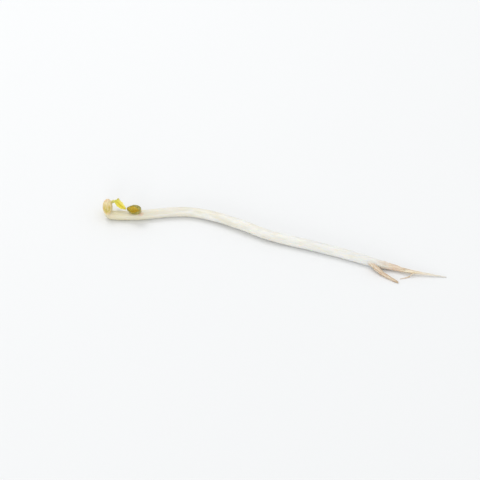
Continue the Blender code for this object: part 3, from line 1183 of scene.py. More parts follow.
class TubeGrower:
    """Geometry Nodes that grow a living skin round a bare edge path.

    The path carries its radius as "girth" and its length so far as "reach". The skin carries "skin":
    the cosine and sine of the turn round the tube, and the distance along it in metres.
    """

    KINDS: ClassVar[dict[type, str]] = {int: "NodeSocketInt", float: "NodeSocketFloat"}
    LUMPS: ClassVar[float] = 0.6
    WRINKLES: ClassVar[float] = 0.7
    WRINKLES_FADE: ClassVar[float] = 0.75
    OCTAVES: ClassVar[float] = 2.0

    def __init__(self) -> None:
        """Builds the tree."""
        inputs = {Growth.named(field.name): self.KINDS[field.type] for field in fields(Growth)}
        bench = GrowBench("grow tube", {**inputs, "Finish": "NodeSocketMaterial"})
        self.bench = bench
        girth = bench.number("girth")
        line = bench.link("GeometryNodeMeshToCurve", None, {"Mesh": bench.entry.outputs["Geometry"]})
        circle = {"Resolution": bench.given("Sides"), "Radius": 1.0}
        loop = bench.link("GeometryNodeCurvePrimitiveCircle", None, circle)
        share = bench.value("GeometryNodeSplineParameter", None, None, "Factor")
        loop = bench.store(loop, "turn", share * (2.0 * math.pi), "FLOAT")
        swept = {"Curve": line, "Profile Curve": loop, "Scale": girth, "Fill Caps": True}
        tube = bench.link("GeometryNodeCurveToMesh", None, swept)
        turn, reach = bench.number("turn"), bench.number("reach")
        tube = bench.store(tube, "skin", bench.combine(turn.cosine(), turn.sine(), reach), "FLOAT_VECTOR")
        normal = bench.link("GeometryNodeInputNormal")
        tube = bench.moved(tube, Offset=bench.scaled(normal, self.relief(turn, reach) * girth))
        # No lump or fibre goes under the surface that the sprout lies on.
        x, y, z = bench.separate(bench.link("GeometryNodeInputPosition"))
        tube = bench.moved(tube, Position=bench.combine(x, y, z.most(0.0)))
        tube = bench.link("GeometryNodeSetShadeSmooth", None, {"Geometry": tube})
        real = bench.link("GeometryNodeRealizeInstances", None, {"Geometry": tube})
        dress = {"Geometry": real, "Material": bench.given("Finish")}
        bench.node("NodeGroupOutput", None, {"Geometry": bench.link("GeometryNodeSetMaterial", None, dress)})

    def relief(self, turn: Value, reach: Value) -> Value:
        """The skin's swelling: fibres, lumps, and wrinkles near the tip.

        Args:
            turn: the turn round the tube.
            reach: the distance along it.

        Returns:
            The swelling, as a share of the radius.
        """
        bench = self.bench
        x, y, seed = turn.cosine(), turn.sine(), bench.given("Seed")

        def drawn(kind: str, around: Feed) -> Value:
            """Noise of this kind's length and depth, and a coarseness round the tube, about 0."""
            place = bench.combine(x * around + seed, y * around, reach / bench.given(f"{kind} Length"))
            return (bench.noise(place, 1.0, self.OCTAVES) * 2.0 - 1.0) * bench.given(f"{kind} Depth")

        wrinkled = (reach / bench.given("Wrinkled Until")).step(1.0, self.WRINKLES_FADE)
        smooth = drawn("Fibre", bench.given("Fibres")) + drawn("Lump", self.LUMPS)
        return smooth + drawn("Wrinkle", self.WRINKLES) * wrinkled

    def grow(self, piece: bpy.types.Object, finish: Finish, growth: Growth) -> None:
        """Grows the skin and leaves the piece a plain mesh.

        Args:
            piece: an object whose mesh is the path.
            finish: the skin's surface.
            growth: how the skin grows.
        """
        modifier = piece.modifiers.new("grow", "NODES")
        modifier.node_group = self.bench.tree
        known = self.bench.identifiers
        for name, value in asdict(growth).items():
            modifier[known[Growth.named(name)]] = value
        modifier[known["Finish"]] = finish.material()
        grown = bpy.data.meshes.new_from_object(piece.evaluated_get(bpy.context.evaluated_depsgraph_get()))
        piece.modifiers.clear()
        bare, piece.data = piece.data, grown
        bpy.data.meshes.remove(bare)
        grown.name = piece.name
        turned_out(grown)


# ---- The sprout ----


@dataclass
class GrownAxis:
    """Taproot, stem, hook and shoot stalk: one skin grown along the CAD axis."""

    node: str = "stem_with_taproot"
    growth: Growth = Growth(
        sides=64, seed=1.7, fibres=3.2, fibre_length=14 * MM, fibre_depth=0.035, lump_length=5 * MM,
        lump_depth=0.07, wrinkle_length=0.5 * MM, wrinkle_depth=0.22, wrinkled_until=24 * MM,
    )
    ring_step: float = 0.15 * MM
    rounding: float = 2.6
    dome_steps: int = 6
    up_front: Place = (0.3, -2.0, 3.0)
    tracer: TubeTracer = TubeTracer()

    def __post_init__(self) -> None:
        """Measures the CAD axis."""
        skin = Skin(self.node)
        tip = skin.points[np.argmax(skin.points[:, 0])]
        traced = self.tracer.trace(skin, tip)
        smooth = traced.resampled(self.tracer.stride).smoothed(self.rounding)
        self.path = smooth.resampled(self.ring_step).smoothed(self.rounding)

    @property
    def shoot_tip(self) -> np.ndarray:
        """The end of the shoot stalk, where the leaves sit."""
        return self.path.middles[-1]

    def outwards(self, found: Axes) -> Axes:
        """The frame of a piece on the shoot's tip, pointing away from it and facing up and forwards."""
        return found.aimed(2.0 * found.middle - self.shoot_tip, np.array(self.up_front))

    def seat(self) -> Place:
        """Finds where the husk's round end rubs.

        Returns:
            The place on the skin.
        """
        low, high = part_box("seed_coat")
        beside = np.array((high[0], 0.5 * (low[1] + high[1]), low[2]))
        nearest = self.path.nearest(beside)
        middle = self.path.middles[nearest]
        on_skin = middle + unit(beside - middle) * self.path.radii[nearest]
        return tuple(float(value) for value in on_skin)

    def build(self, shop: Workshop) -> None:
        """Grows the axis.

        Args:
            shop: makes the mesh.
        """
        finish = StemSkin(seat=self.seat(), shoot_end=float(self.path.reach[-1]))
        piece = shop.tube(self.node, self.path.domed(self.dome_steps), finish, self.growth)
        shop.finished(piece, finish, Slot.STEM, self.node)


@dataclass
class SideRoot:
    """A side root, rooted inside the taproot and tapering to its tip on the surface."""

    node: str
    axis: GrownAxis
    seed: float
    growth: Growth = Growth(
        sides=24, seed=0.0, fibres=1.6, fibre_length=1.2 * MM, fibre_depth=0.12, lump_length=1.3 * MM,
        lump_depth=0.18, wrinkle_length=0.28 * MM, wrinkle_depth=0.16, wrinkled_until=30 * MM,
    )
    ring_step: float = 0.07 * MM
    rounding: float = 5.0
    trace_step: float = 0.1 * MM
    trace_rounding: float = 3.0
    end_points: int = 5
    inner_points: int = 23
    lean: float = 4.0
    depth: float = 0.9
    bow: float = 0.45
    thinning: float = 0.75
    dome_steps: int = 4
    flare: float = 0.36
    flare_reach: float = 0.26
    least_slope: float = 0.3
    fade: float = 0.60
    thick_from: float = 0.4 * MM
    thick_burning: float = 0.8
    fine_burning: float = 0.35
    on_stem: Colour = (0.72, 0.69, 0.63)
    on_taproot: Colour = (0.78, 0.69, 0.52)
    tracer: TubeTracer = TubeTracer(stride=0.2 * MM, start_sphere=0.7 * MM, first_step=0.12 * MM)

    def path(self) -> Path:
        """Finds the root's middle line.

        Returns:
            The line, from the tip to its end inside the taproot.
        """
        skin = Skin(self.node)
        spine = self.axis.path
        gaps = [np.linalg.norm(spine.middles - point, axis=1).min() for point in skin.points]
        base = skin.points[int(np.argmin(gaps))]
        tip = skin.points[np.argmax(np.linalg.norm(skin.points - base, axis=1))]
        smooth = self.tracer.trace(skin, tip).resampled(self.trace_step).smoothed(self.trace_rounding)
        end = smooth.middles[-1]
        back = unit(end - smooth.middles[-self.end_points])
        # Inside the taproot the line bends along it, so that the side root leaves it at a slant.
        beside = spine.middles[spine.nearest(end)]
        flank = float(np.linalg.norm(beside - end))
        target = spine.middles[spine.nearest(end + back * (self.lean * flank))]
        rooted = end + (target - end) * self.depth
        arm = self.bow * float(np.linalg.norm(rooted - end))
        share = np.linspace(0.0, 1.0, self.inner_points + 1)[1:, None]
        inner = curved(share, end, end + back * arm, rooted - unit(target - beside) * arm, rooted)
        radii = smooth.radii[-1] * (1.0 - self.thinning * share[:, 0])
        whole = Path(np.concatenate((smooth.middles, inner)), np.concatenate((smooth.radii, radii)))
        return whole.resampled(self.ring_step).smoothed(self.rounding)

    def fuse(self, shop: Workshop, piece: bpy.types.Object, radius: float) -> None:
        """Spreads the skin into a fillet on the taproot, and stores "fused", which is 1 where they meet.

        Args:
            shop: stores the attribute.
            piece: the grown side root.
            radius: its largest radius.
        """
        mesh = piece.data
        flat = np.empty(3 * len(mesh.vertices), dtype=np.float32)
        mesh.vertices.foreach_get("co", flat)
        points = flat.reshape(-1, 3).astype(np.float64)
        mesh.vertices.foreach_get("normal", flat)
        normals = flat.reshape(-1, 3).astype(np.float64)
        spine = self.axis.path
        hosts = [spine.nearest(point) for point in points]
        away = points - spine.middles[hosts]
        height = np.maximum(np.linalg.norm(away, axis=1) - spine.radii[hosts], 0.0) / radius
        up = unit(away)
        # The skin spreads along the taproot's own skin, most where the two touch.
        sideways = normals - (normals * up).sum(axis=1, keepdims=True) * up
        sideways /= np.maximum(np.linalg.norm(sideways, axis=1, keepdims=True), self.least_slope)
        points += sideways * (self.flare * radius * np.exp(-height / self.flare_reach))[:, None]
        points[:, 2] = np.maximum(points[:, 2], 0.0)
        mesh.vertices.foreach_set("co", points.astype(np.float32).ravel())
        mesh.update()
        shop.write(mesh, "fused", np.exp(-height / self.fade))

    def build(self, shop: Workshop) -> None:
        """Grows the side root.

        Args:
            shop: makes the mesh.
        """
        path = self.path()
        radius = float(path.radii.max())
        thick = radius > self.thick_from
        finish = RootSkin(
            f"root skin {self.node[-1]}",
            length=float(path.reach[-1]),
            burning=self.thick_burning if thick else self.fine_burning,
            host=self.on_stem if thick else self.on_taproot,
        )
        growth = replace(self.growth, seed=self.seed)
        piece = shop.tube(self.node, path.domed(self.dome_steps), finish, growth)
        self.fuse(shop, piece, radius)
        shop.finished(piece, finish, Slot.ROOT, self.node)


@dataclass
class SeedLeaf:
    """A shrivelling half of the bean: domed and wrinkled outside, hollowed inside, joined to the stem."""

    SEEDS: ClassVar[dict[Side, float]] = {Side.FRONT: 2.0, Side.BACK: 9.0}

    side: Side
    axis: GrownAxis
    rows: int = 96
    around: int = 112
    heart: float = 0.35
    rounding: float = 2.2
    wrinkle: float = 0.10 * MM
    fold_fineness: Triple = (1.1, 3.4, 1.6)
    fold_sharpness: float = 3.2
    inner_calm: float = 0.6
    shrivel: float = 0.16 * MM
    dent_fineness: float = 1.3
    dent_seed: float = 3.0
    dent_level: float = 0.25
    hollow: float = 0.20 * MM
    inner_band: Band = (-0.15, -0.75)
    length_share: float = 0.9
    groove: float = 0.10 * MM
    groove_width: float = 0.16
    curl: float = 0.08 * MM
    curl_at: float = 0.86
    curl_width: float = 0.16
    curl_band: Band = (0.3, -0.4)
    neck: float = 0.55 * MM
    neck_depth: float = 0.35

    def build(self, shop: Workshop) -> None:
        """Builds the seed leaf.

        Args:
            shop: makes the mesh.
        """
        node = f"cotyledon_{self.side.value}"
        skin = Skin(node)
        axes = skin.axes()
        stem_point = self.axis.path.middles[self.axis.path.nearest(axes.middle)]
        axes = axes.aimed(self.axis.shoot_tip, 2.0 * axes.middle - stem_point)
        rings = self.cast(skin, axes)
        local = axes.into(rings) / axes.half
        rings = rings + (self.relief(local)[..., None] * unit(local / axes.half)) @ axes.turns
        rings = self.joined(rings, axes, stem_point)
        piece = shop.body(node, [RingedBody(rings, {"bean": local[..., [1, 0, 2]]})])
        shop.finished(piece, SeedLeafSkin(), Slot.SEED_LEAF, node)

    def cast(self, skin: Skin, axes: Axes) -> np.ndarray:
        """Finds the CAD seed leaf's surface.

        Args:
            skin: the CAD seed leaf.
            axes: its frame.

        Returns:
            The surface as rings along the long axis.
        """
        # Rays leave from a place nearer the hollow side, which spaces their hits more evenly there.
        lift = math.pi * (np.arange(self.rows) + 0.5) / self.rows
        centre = axes.out(np.array((0.0, 0.0, -self.heart * axes.half[2])))
        ways = unit(globe(lift[:, None], turns_round(self.around)) * axes.half) @ axes.turns
        reaches = np.array([[skin.reach(centre, way) or 0.0 for way in row] for row in ways])
        reaches = softened(softened(reaches, self.rounding).T, self.rounding, wrap=True).T
        return centre + ways * reaches[..., None]

    def relief(self, local: np.ndarray) -> np.ndarray:
        """Shapes wrinkles, dents and a hollow inner side.

        Args:
            local: the surface's points as shares of the half extents: along, across and outwards.

        Returns:
            How far each point moves outwards.
        """
        along, across, outwards = np.moveaxis(local, -1, 0)
        seed = self.SEEDS[self.side]
        folds = 1.0 - np.abs(clouds(local * self.fold_fineness, 3, seed)) * self.fold_sharpness
        dents = clouds(local * self.dent_fineness, 2, seed + self.dent_seed)
        inner = eased(outwards, *self.inner_band)
        disc = np.clip(1.0 - across**2 - self.length_share * along**2, 0.0, 1.0)
        rim = bell(across**2 + along**2 - self.curl_at, self.curl_width) * eased(outwards, *self.curl_band)
        return (
            self.wrinkle * folds * (1.0 - self.inner_calm * inner)
            - self.shrivel * np.maximum(dents + self.dent_level, 0.0)
            - inner * disc * (self.hollow + self.groove * bell(across, self.groove_width))
            + self.curl * rim
        )

    def joined(self, rings: np.ndarray, axes: Axes, stem_point: np.ndarray) -> np.ndarray:
        """Draws the inner side out to the stem at its joint.

        Args:
            rings: the surface.
            axes: the seed leaf's frame.
            stem_point: the point of the stem's middle line that it sits on.

        Returns:
            The surface with a neck.
        """
        root = stem_point + self.neck_depth * (axes.middle - stem_point)
        way = unit(root - axes.middle)
        offset = rings - axes.middle
        ahead = offset @ way
        aside = np.linalg.norm(offset - ahead[..., None] * way, axis=-1)
        short = np.maximum((root - axes.middle) @ way - ahead, 0.0)
        return rings + (bell(aside, self.neck) * (ahead > 0.0) * short)[..., None] * way


@dataclass
class BladeSurvey:
    """The middle sheet of a CAD leaf, as rows from its stalk to its point."""

    skin: Skin
    axes: Axes
    rows: int = 84
    columns: int = 44
    scan: int = 110
    overscan: float = 1.02
    inset: float = 0.05 * MM
    lift: float = 6 * MM
    least_half: float = 0.05 * MM
    least_spots: int = 8
    fold_power: float = 1.6
    edge_rounding: float = 2.0
    fit_rounding: float = 3.0

    def measure(self) -> tuple[np.ndarray, np.ndarray]:
        """Measures the leaf.

        Returns:
            The sheet's points, with a row for each station and a column for each place across, and the
            places across from -1 to 1.
        """
        length, width, _ = self.axes.half
        stations = np.linspace(self.inset - length, length - self.inset, self.rows)
        places = np.linspace(-width * self.overscan, width * self.overscan, self.scan)
        edges, fits = [], []
        for station in stations:
            found = [(place, self.height(station, place)) for place in places]
            spots = np.array([spot for spot in found if spot[1] is not None] or [(0.0, 0.0)])
            left, right = spots[0, 0], spots[-1, 0]
            edges.append((left, right))
            share = (spots[:, 0] - 0.5 * (left + right)) / max(0.5 * (right - left), self.least_half)
            if len(spots) < self.least_spots:
                fits.append(np.array((spots[:, 1].mean(), 0.0, 0.0, 0.0)))
            else:
                fits.append(np.linalg.lstsq(self.basis(share), spots[:, 1], rcond=None)[0])
        left, right = softened(np.array(edges), self.edge_rounding).T[..., None]
        across = -np.cos(math.pi * np.arange(self.columns + 1) / self.columns)
        heights = softened(np.array(fits), self.fit_rounding) @ self.basis(across).T
        wide = 0.5 * (left + right) + 0.5 * (right - left) * across
        return self.axes.out(stacked(stations[:, None], wide, heights)), across

    def basis(self, share: np.ndarray) -> np.ndarray:
        """The shapes that a section is fitted with: level, slope, fold and twist."""
        return np.stack((np.ones_like(share), share, np.abs(share) ** self.fold_power, share**3), axis=-1)

    def height(self, station: float, place: float) -> float | None:
        """Finds the middle of the blade's wall.

        Args:
            station: a place along the blade.
            place: a place across it.

        Returns:
            The middle's height, or None off the blade.
        """
        thin = self.axes.turns[2]
        above = self.skin.reach(self.axes.out(np.array((station, place, self.lift))), -thin)
        below = self.skin.reach(self.axes.out(np.array((station, place, -self.lift))), thin)
        return None if above is None or below is None else 0.5 * (below - above)


@dataclass
class FirstLeaf:
    """A first true leaf: thin, folded along its midrib, with raised veins underneath."""

    SEEDS: ClassVar[dict[Side, float]] = {Side.FRONT: 4.0, Side.BACK: 11.0}
    GREENING: ClassVar[dict[Side, float]] = {Side.FRONT: 0.7, Side.BACK: 1.0}

    side: Side
    axis: GrownAxis
    thickness: float = 0.13 * MM
    thinning: float = 0.4
    rib_swell: float = 1.3
    rib_width: float = 0.12
    midrib_width: float = 0.045
    midrib_end: Band = (1.0, 0.75)
    vein_pairs: int = 6
    first_vein: float = 0.10
    vein_span: float = 0.72
    vein_stagger: float = 0.02
    vein_rise: float = 0.26
    vein_bow: float = 1.25
    vein_widths: Pair = (0.0144, 0.006)
    vein_end: Band = (0.97, 0.7)
    vein_strength: float = 0.8
    body_start: Band = (0.05, 0.25)
    body_end: Band = (1.0, 0.93)
    ripple: float = 0.09 * MM
    long_ripple: Triple = (21.0, 1.5, 1.0)
    short_ripple: Triple = (37.0, -2.0, 0.6)
    crumple_size: float = 0.9 * MM
    crumple: float = 0.099 * MM
    vein_sink: float = 0.036 * MM
    groove: float = 0.09 * MM
    groove_width: float = 0.11
    first_rows: int = 3
    stalk_rows: int = 14
    stalk_half: float = 0.24 * MM
    stalk_wall: float = 0.36 * MM
    stalk_band: Band = (0.2, 1.0)

    def build(self, shop: Workshop) -> None:
        """Builds the leaf.

        Args:
            shop: makes the mesh.
        """
        node = f"first_leaf_{self.side.value}"
        skin = Skin(node)
        sheet, across = BladeSurvey(skin, self.axis.outwards(skin.axes())).measure()
        share, place = np.meshgrid(np.linspace(0.0, 1.0, len(sheet)), across, indexing="ij")
        vein = self.veins(share, place)
        sheet = sheet + self.normals(sheet) * self.relief(share, place, vein, sheet)[..., None]
        normals = self.normals(sheet)
        wall = self.thickness * (1.0 + self.rib_swell * bell(place, self.rib_width) * (1.0 - share))
        stalk, stalk_wall = self.stalk(sheet, across, wall[0].mean())
        sheet, normals, wall, share, vein, place = (
            np.concatenate((np.broadcast_to(start, (self.stalk_rows, *values.shape[1:])), values))
            for values, start in (
                (sheet, stalk), (normals, normals[0]), (wall, stalk_wall), (share, 0.0), (vein, 0.0),
                (place, across),
            )
        )
        taper = (1.0 - np.minimum(place**2, 1.0)) ** self.thinning
        lift = normals * (0.5 * wall * taper)[..., None]
        carried = {
            "blade": over_and_under(stacked(place, share, 1.0), stacked(place, share, -1.0)),
            "vein": over_and_under(vein, vein),
        }
        piece = shop.body(node, [RingedBody(over_and_under(sheet + lift, sheet - lift), carried)])
        finish = LeafSkin(f"leaf skin {self.side.value}", greening=self.GREENING[self.side])
        shop.finished(piece, finish, Slot.FIRST_LEAF, node)

    @staticmethod
    def normals(sheet: np.ndarray) -> np.ndarray:
        """The sheet's upward normals."""
        return unit(np.cross(np.gradient(sheet, axis=0), np.gradient(sheet, axis=1)))

    def veins(self, share: np.ndarray, place: np.ndarray) -> np.ndarray:
        """Draws the midrib and the side veins.

        Args:
            share: each point's place along the blade, from 0 to 1.
            place: its place across the blade, from -1 to 1.

        Returns:
            How near it is to a vein: 1 on it, 0 away from it.
        """
        found = bell(place, self.midrib_width) * eased(share, *self.midrib_end)
        wide, taper = self.vein_widths
        for pair in range(self.vein_pairs):
            start = self.first_vein + self.vein_span * pair / self.vein_pairs
            for half in (-1.0, 1.0):
                out = np.maximum(place * half, 0.0)
                lift = start + self.vein_stagger * half + self.vein_rise * out**self.vein_bow
                width = wide - (wide - taper) * np.minimum(out, 1.0)
                vein = bell(share - lift, width) * (out > 0.0) * eased(out, *self.vein_end)
                found = np.maximum(found, self.vein_strength * vein)
        return found

    def relief(
        self, share: np.ndarray, place: np.ndarray, vein: np.ndarray, sheet: np.ndarray
    ) -> np.ndarray:
        """Shapes a groove at the midrib, sunk veins, crumples and a wavy margin.

        Args:
            share: each point's place along the blade.
            place: its place across the blade.
            vein: how near it is to a vein.
            sheet: the points.

        Returns:
            How far each point rises.
        """
        seed = self.SEEDS[self.side]
        waves = 0.0
        for (lengthwise, sideways, size), shift in ((self.long_ripple, seed), (self.short_ripple, 0.0)):
            waves = waves + size * np.sin(share * lengthwise + place * sideways + shift)
        return eased(share, *self.body_start) * eased(share, *self.body_end) * (
            self.ripple * place**4 * waves
            + self.crumple * clouds(sheet / self.crumple_size, 3, seed)
            - self.vein_sink * vein
            - self.groove * bell(place, self.groove_width)
        )

    def stalk(self, sheet: np.ndarray, across: np.ndarray, wall: float) -> tuple[np.ndarray, np.ndarray]:
        """Makes the leaf's stalk, from the shoot's tip to the blade.

        Args:
            sheet: the blade.
            across: the places across it.
            wall: its thickness at its start.

        Returns:
            The stalk's rows of points, and a column of their thickness.
        """
        first = sheet[0].mean(axis=0)
        ahead = unit(sheet[self.first_rows].mean(axis=0) - first)
        start = self.axis.shoot_tip
        steps = np.arange(self.stalk_rows)[:, None] / self.stalk_rows
        bend = first - ahead * 0.5 * float(np.linalg.norm(first - start))
        middles = (1.0 - steps) ** 2 * start + 2.0 * steps * (1.0 - steps) * bend + steps**2 * first
        edge = sheet[0, -1] - sheet[0, 0]
        halves = self.stalk_half + (0.5 * float(np.linalg.norm(edge)) - self.stalk_half) * steps
        rows = middles[:, None] + (halves * across)[..., None] * unit(edge)
        return rows, self.stalk_wall + (wall - self.stalk_wall) * eased(steps, *self.stalk_band)


@dataclass
class TerminalBud:
    """The growing tip: three small scales folded over one another round a core."""

    axis: GrownAxis
    node: str = "terminal_bud"
    rows: int = 28
    around: int = 40
    belly: float = 0.75
    fullness: float = 0.8
    core_width: float = 0.86
    foot_width: float = 0.62
    foot_band: Band = (0.25, 0.0)
    sway_band: Band = (0.35, 0.0)
    scales: int = 3
    scale_ends: Pair = (0.06, 0.98)
    scale_belly: float = 0.7
    scale_fullness: float = 0.6
    scale_seat: float = 0.88
    scale_lift: float = 0.05
    scale_wall: float = 0.10
    scale_lining: float = 0.4
    span: float = math.radians(150.0)

    def build(self, shop: Workshop) -> None:
        """Builds the bud.

        Args:
            shop: makes the mesh.
        """
        axes = self.axis.outwards(Skin(self.node).axes())
        bodies = [self.core(axes)] + [self.scale(axes, index) for index in range(self.scales)]
        shop.finished(shop.body(self.node, bodies), BudSkin(), Slot.BUD, self.node)

    def profile(self, share: np.ndarray) -> np.ndarray:
        """The bud's radius along it, as a share of its widest."""
        return np.sin(math.pi * share**self.belly) ** self.fullness

    def core(self, axes: Axes) -> RingedBody:
        """Makes the bud's inner cone, which reaches back into the shoot stalk.

        Args:
            axes: the bud's frame.

        Returns:
            The cone.
        """
        length, width, height = axes.half
        share = np.linspace(0.0, 1.0, self.rows)[:, None]
        turn = turns_round(self.around)
        radius = np.maximum(self.profile(share), self.foot_width * (1.0 - share) ** 0.5) * self.core_width
        back, sideways, up = axes.into(self.axis.shoot_tip)
        along = (back + length) * eased(share, *self.foot_band) + length * (2.0 * share - 1.0)
        sway = eased(share, *self.sway_band)
        local = stacked(
            along, sway * sideways + radius * width * np.cos(turn), sway * up + radius * height * np.sin(turn)
        )
        return RingedBody(axes.out(local), {})

    def scale(self, axes: Axes, index: int) -> RingedBody:
        """Makes one scale, wrapped round the core.

        Args:
            axes: the bud's frame.
            index: which one.

        Returns:
            The scale.
        """
        length, width, height = axes.half
        share = np.linspace(*self.scale_ends, self.rows)[:, None]
        place = -np.cos(math.pi * np.arange(self.around // 2 + 1) / (self.around // 2))
        opening = np.sin(math.pi * share**self.scale_belly) ** self.scale_fullness
        turn = 2.0 * math.pi * index / self.scales + 0.5 * self.span * opening * place
        lift = 1.0 + self.scale_lift * (index + place * (1.0 - share))
        base = self.scale_seat * self.profile(share) * lift
        thin = self.scale_wall * (1.0 - place**2) ** 0.5
        along = length * (2.0 * share - 1.0)
        sides = (
            stacked(along, radius * width * np.cos(turn), radius * height * np.sin(turn))
            for radius in (base + thin, base - self.scale_lining * thin)
        )
        return RingedBody(axes.out(over_and_under(*sides)), {})


@dataclass
class SeedHusk:
    """The empty seed coat: a thin curled shell, open along one side, with its scar."""

    axis: GrownAxis
    node: str = "seed_coat"
    rows: int = 90
    around: int = 96
    end_gap: float = 0.7
    scan: int = 240
    far: float = 8 * MM
    rounding: float = 2.0
    mouth_rounding: float = 1.5
    least_mouth: float = 0.02
    gape_band: Band = (0.1, 0.6)
    wall: float = 0.11 * MM
    lip_band: Band = (0.45, 0.0)
    lip_curl: float = 0.16 * MM
    lip_thinning: float = 0.5
    lip_raggedness: float = 7.0
    crinkle: float = 0.06 * MM
    crinkle_fineness: float = 3.2
    crinkle_seed: float = 5.0
    lip_seed: float = 8.0
    pointing: float = 0.2
    point_start: float = 0.1
    sink: float = 0.05 * MM
    rest_every: int = 7
    scar_turn: float = 0.9
    scar_width: float = 0.16
    scar_place: float = 0.05
    scar_length: float = 0.26

    def build(self, shop: Workshop) -> None:
        """Builds the husk.

        Args:
            shop: makes the mesh.
        """
        skin = Skin(self.node)
        shell = self.shell(skin, skin.axes(np.eye(3)))
        shell.rings = shell.rings + self.drop(shell.rings)
        shop.finished(shop.body(self.node, [shell]), HuskSkin(), Slot.HUSK, self.node)

    def shell(self, skin: Skin, box: Axes) -> RingedBody:
        """Finds the CAD husk's outer skin and mouth, and gives it a thin curled wall.

        Args:
            skin: the CAD husk.
            box: its extents.

        Returns:
            The shell: its outside, then its lining.
        """
        gap = self.end_gap
        angle = math.pi * (np.arange(self.rows)[:, None] + gap) / (self.rows - 1.0 + 2.0 * gap)
        scan = turns_round(self.scan)
        found = [
            [skin.reach(box.middle + way * self.far, -way, self.far) for way in row]
            for row in self.ways(angle, scan, box)
        ]
        radii = self.far - np.array(found, dtype=float)
        centre, half = self.mouth(radii, scan)
        # Columns run from lip to lip round the back, and crowd towards both lips.
        even = np.linspace(0.0, 1.0, self.around)
        shares = 0.5 * even + 0.25 * (1.0 - np.cos(math.pi * even))
        round_shell = 2.0 * (math.pi - half)
        turn = centre + half + round_shell * shares
        rows = zip(turn, self.filled(radii))
        reach = np.stack([np.interp(turns, scan, row, period=2.0 * math.pi) for turns, row in rows])
        reach = softened(softened(reach, self.rounding).T, self.rounding).T
        ways = self.ways(angle, turn, box)
        near_lip = eased(np.minimum(shares, 1.0 - shares) * round_shell, *self.lip_band)
        lip = near_lip * eased(half, *self.gape_band)
        pointed = np.clip((np.cos(angle) - self.point_start) / (1.0 - self.point_start), 0.0, 1.0)
        ragged = clouds(stacked(angle * self.lip_raggedness, 0.0, 0.0), 2, self.lip_seed)
        outer = (
            reach * (1.0 - self.pointing * pointed * (1.0 - pointed**4))
            + self.crinkle * clouds(ways * self.crinkle_fineness, 3, self.crinkle_seed)
            - self.lip_curl * lip * (1.0 + ragged)
        )
        inner = outer - self.wall * (1.0 - self.lip_thinning * near_lip)
        along = np.broadcast_to(-np.cos(angle), turn.shape)
        husk = stacked(np.cos(turn), np.sin(turn), along)
        none = np.zeros_like(turn)
        sides = {
            "rings": (box.middle + ways * outer[..., None], box.middle + ways * inner[..., None]),
            "husk": (husk, husk),
            "lip": (lip, lip),
            "scar": (self.scar(along, turn, centre + math.pi), none),
            "lining": (none, none + 1.0),
        }
        joined = {key: np.concatenate((out, back[:, ::-1]), axis=1) for key, (out, back) in sides.items()}
        return RingedBody(joined.pop("rings"), joined)

    @staticmethod
    def ways(angle: np.ndarray, turn: np.ndarray, box: Axes) -> np.ndarray:
        """Directions out of the husk's middle, from the angle off its low end and the turn round it."""
        return unit(globe(angle, turn)[..., [0, 2, 1]] * box.half)

    def drop(self, rings: np.ndarray) -> np.ndarray:
        """Finds how the husk moves to lie on the stem, just sunk into its skin.

        Args:
            rings: the husk.

        Returns:
            The move.
        """
        path = self.axis.path
        flat = rings.reshape(-1, 3)[:: self.rest_every]
        gaps = [(np.linalg.norm(path.middles - point, axis=1) - path.radii).min() for point in flat]
        lowest = flat[int(np.argmin(gaps))]
        return unit(path.middles[path.nearest(lowest)] - lowest) * (min(gaps) + self.sink)

    def mouth(self, radii: np.ndarray, scan: np.ndarray) -> tuple[float, np.ndarray]:
        """Finds the mouth.

        Args:
            radii: the husk's radius in each row at each angle, with no number in the mouth.
            scan: the angles.

        Returns:
            The mouth's middle turn, and a column of its half angle in each row.
        """
        gaps = np.isnan(radii)
        whole = gaps.sum(axis=0)
        centre = math.atan2(float((whole * np.sin(scan)).sum()), float((whole * np.cos(scan)).sum()))
        half = softened(gaps.mean(axis=1) * math.pi, self.mouth_rounding)
        return centre, np.maximum(half, self.least_mouth)[:, None]

    @staticmethod
    def filled(radii: np.ndarray) -> np.ndarray:
        """Bridges the mouth's gaps.

        Args:
            radii: the radii, with no number in the mouth.

        Returns:
            The radii, with numbers all the way round.
        """
        columns = np.arange(radii.shape[1])
        known = ~np.isnan(radii)
        rows = zip(radii, known)
        return np.array([np.interp(columns, columns[ok], row[ok], period=len(columns)) for row, ok in rows])

    def scar(self, along: np.ndarray, turn: np.ndarray, opposite: float) -> np.ndarray:
        """Draws the pale slit on the husk's back where the bean was held.

        Args:
            along: each point's place along the husk.
            turn: its turn round the husk.
            opposite: the turn across from the mouth.

        Returns:
            1 along the slit's middle, and 0 off it.
        """
        aside = np.abs(np.angle(np.exp(1j * (turn - opposite - self.scar_turn)))) / self.scar_width
        length = np.abs(along - self.scar_place) / self.scar_length
        return np.clip(1.0 - aside**2 - length**2, 0.0, 1.0)


# ---- Studio ----


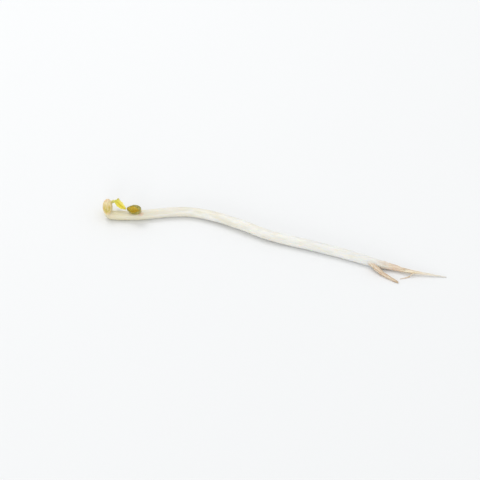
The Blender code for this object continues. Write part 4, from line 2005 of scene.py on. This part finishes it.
@dataclass
class Studio:
    """A pale floor, an even white sky, a key light, a low light from the front, and the camera."""

    floor_size: float = 3.0
    sky: Colour = (0.985, 0.99, 0.992)
    sky_strength: float = 0.90
    key_power: float = 2.0
    key_size: float = 0.5
    key_place: Place = (-0.45, 0.30, 0.75)
    fill_power: float = 3.1
    fill_size: float = 0.5
    fill_place: Place = (0.18, -1.3, 0.31)
    azimuth: float = 16.5
    elevation: float = 38.0
    lens: float = 200.0
    sensor: float = 36.0
    clip: Pair = (0.01, 20.0)
    frame_width: float = 0.1584
    aim: Place = (-0.0110, -0.0011, 0.0)

    def build(self) -> None:
        """Builds the floor, the lights and the camera."""
        self.floor()
        self.soft_light("key", self.key_power, self.key_size, self.key_place)
        self.soft_light("fill", self.fill_power, self.fill_size, self.fill_place)
        self.open_sky()
        self.camera()
        settings = bpy.context.scene.view_settings
        settings.view_transform = "Standard"
        settings.look = "None"

    def floor(self) -> None:
        """Lays the floor."""
        half = 0.5 * self.floor_size
        mesh = bpy.data.meshes.new("floor")
        corners = [(-half, -half, 0.0), (half, -half, 0.0), (half, half, 0.0), (-half, half, 0.0)]
        mesh.from_pydata(corners, [], [(0, 1, 2, 3)])
        mesh.materials.append(PaleFloor().material())
        floor = placed("floor", mesh)

    @staticmethod
    def soft_light(name: str, power: float, size: float, place: Place) -> None:
        """Hangs one round soft light that looks at the sprout.

        Args:
            name: the light's name.
            power: its power in watts.
            size: its width in metres.
            place: where it hangs.
        """
        data = bpy.data.lights.new(name, "AREA")
        data.shape = "DISK"
        data.size = size
        data.energy = power
        light = placed(name, data)
        light.location = place
        light.rotation_euler = Vector(place).to_track_quat("Z", "Y").to_euler()

    def open_sky(self) -> None:
        """Sets the even sky."""
        world = bpy.data.worlds.new("sky")
        world.use_nodes = True
        world.node_tree.nodes.clear()
        bench = Bench(world.node_tree)
        glow = {"Color": (*self.sky, 1.0), "Strength": self.sky_strength}
        light = bench.link("ShaderNodeBackground", None, glow)
        bench.node("ShaderNodeOutputWorld", None, {"Surface": light})
        bpy.context.scene.world = world

    def camera(self) -> None:
        """Sets the camera."""
        turn, lift = math.radians(self.azimuth), math.radians(self.elevation)
        back = Vector((math.sin(turn) * math.cos(lift), -math.cos(turn) * math.cos(lift), math.sin(lift)))
        data = bpy.data.cameras.new("camera")
        data.lens = self.lens
        data.sensor_width = self.sensor
        data.clip_start, data.clip_end = self.clip
        camera = placed("camera", data)
        camera.location = Vector(self.aim) + back * (self.frame_width * self.lens / self.sensor)
        camera.rotation_euler = back.to_track_quat("Z", "Y").to_euler()
        bpy.context.scene.camera = camera


def build_scene() -> None:
    """Builds every piece of the sprout, then the studio."""
    logging.basicConfig(level=logging.INFO, format="%(name)s: %(message)s")
    shop = Workshop()
    axis = GrownAxis()
    axis.build(shop)
    for node, seed in SIDE_ROOTS.items():
        SideRoot(node, axis, seed).build(shop)
    for side in Side:
        SeedLeaf(side, axis).build(shop)
        FirstLeaf(side, axis).build(shop)
    TerminalBud(axis).build(shop)
    SeedHusk(axis).build(shop)
    Studio().build()


if __name__ == "__main__":
    build_scene()
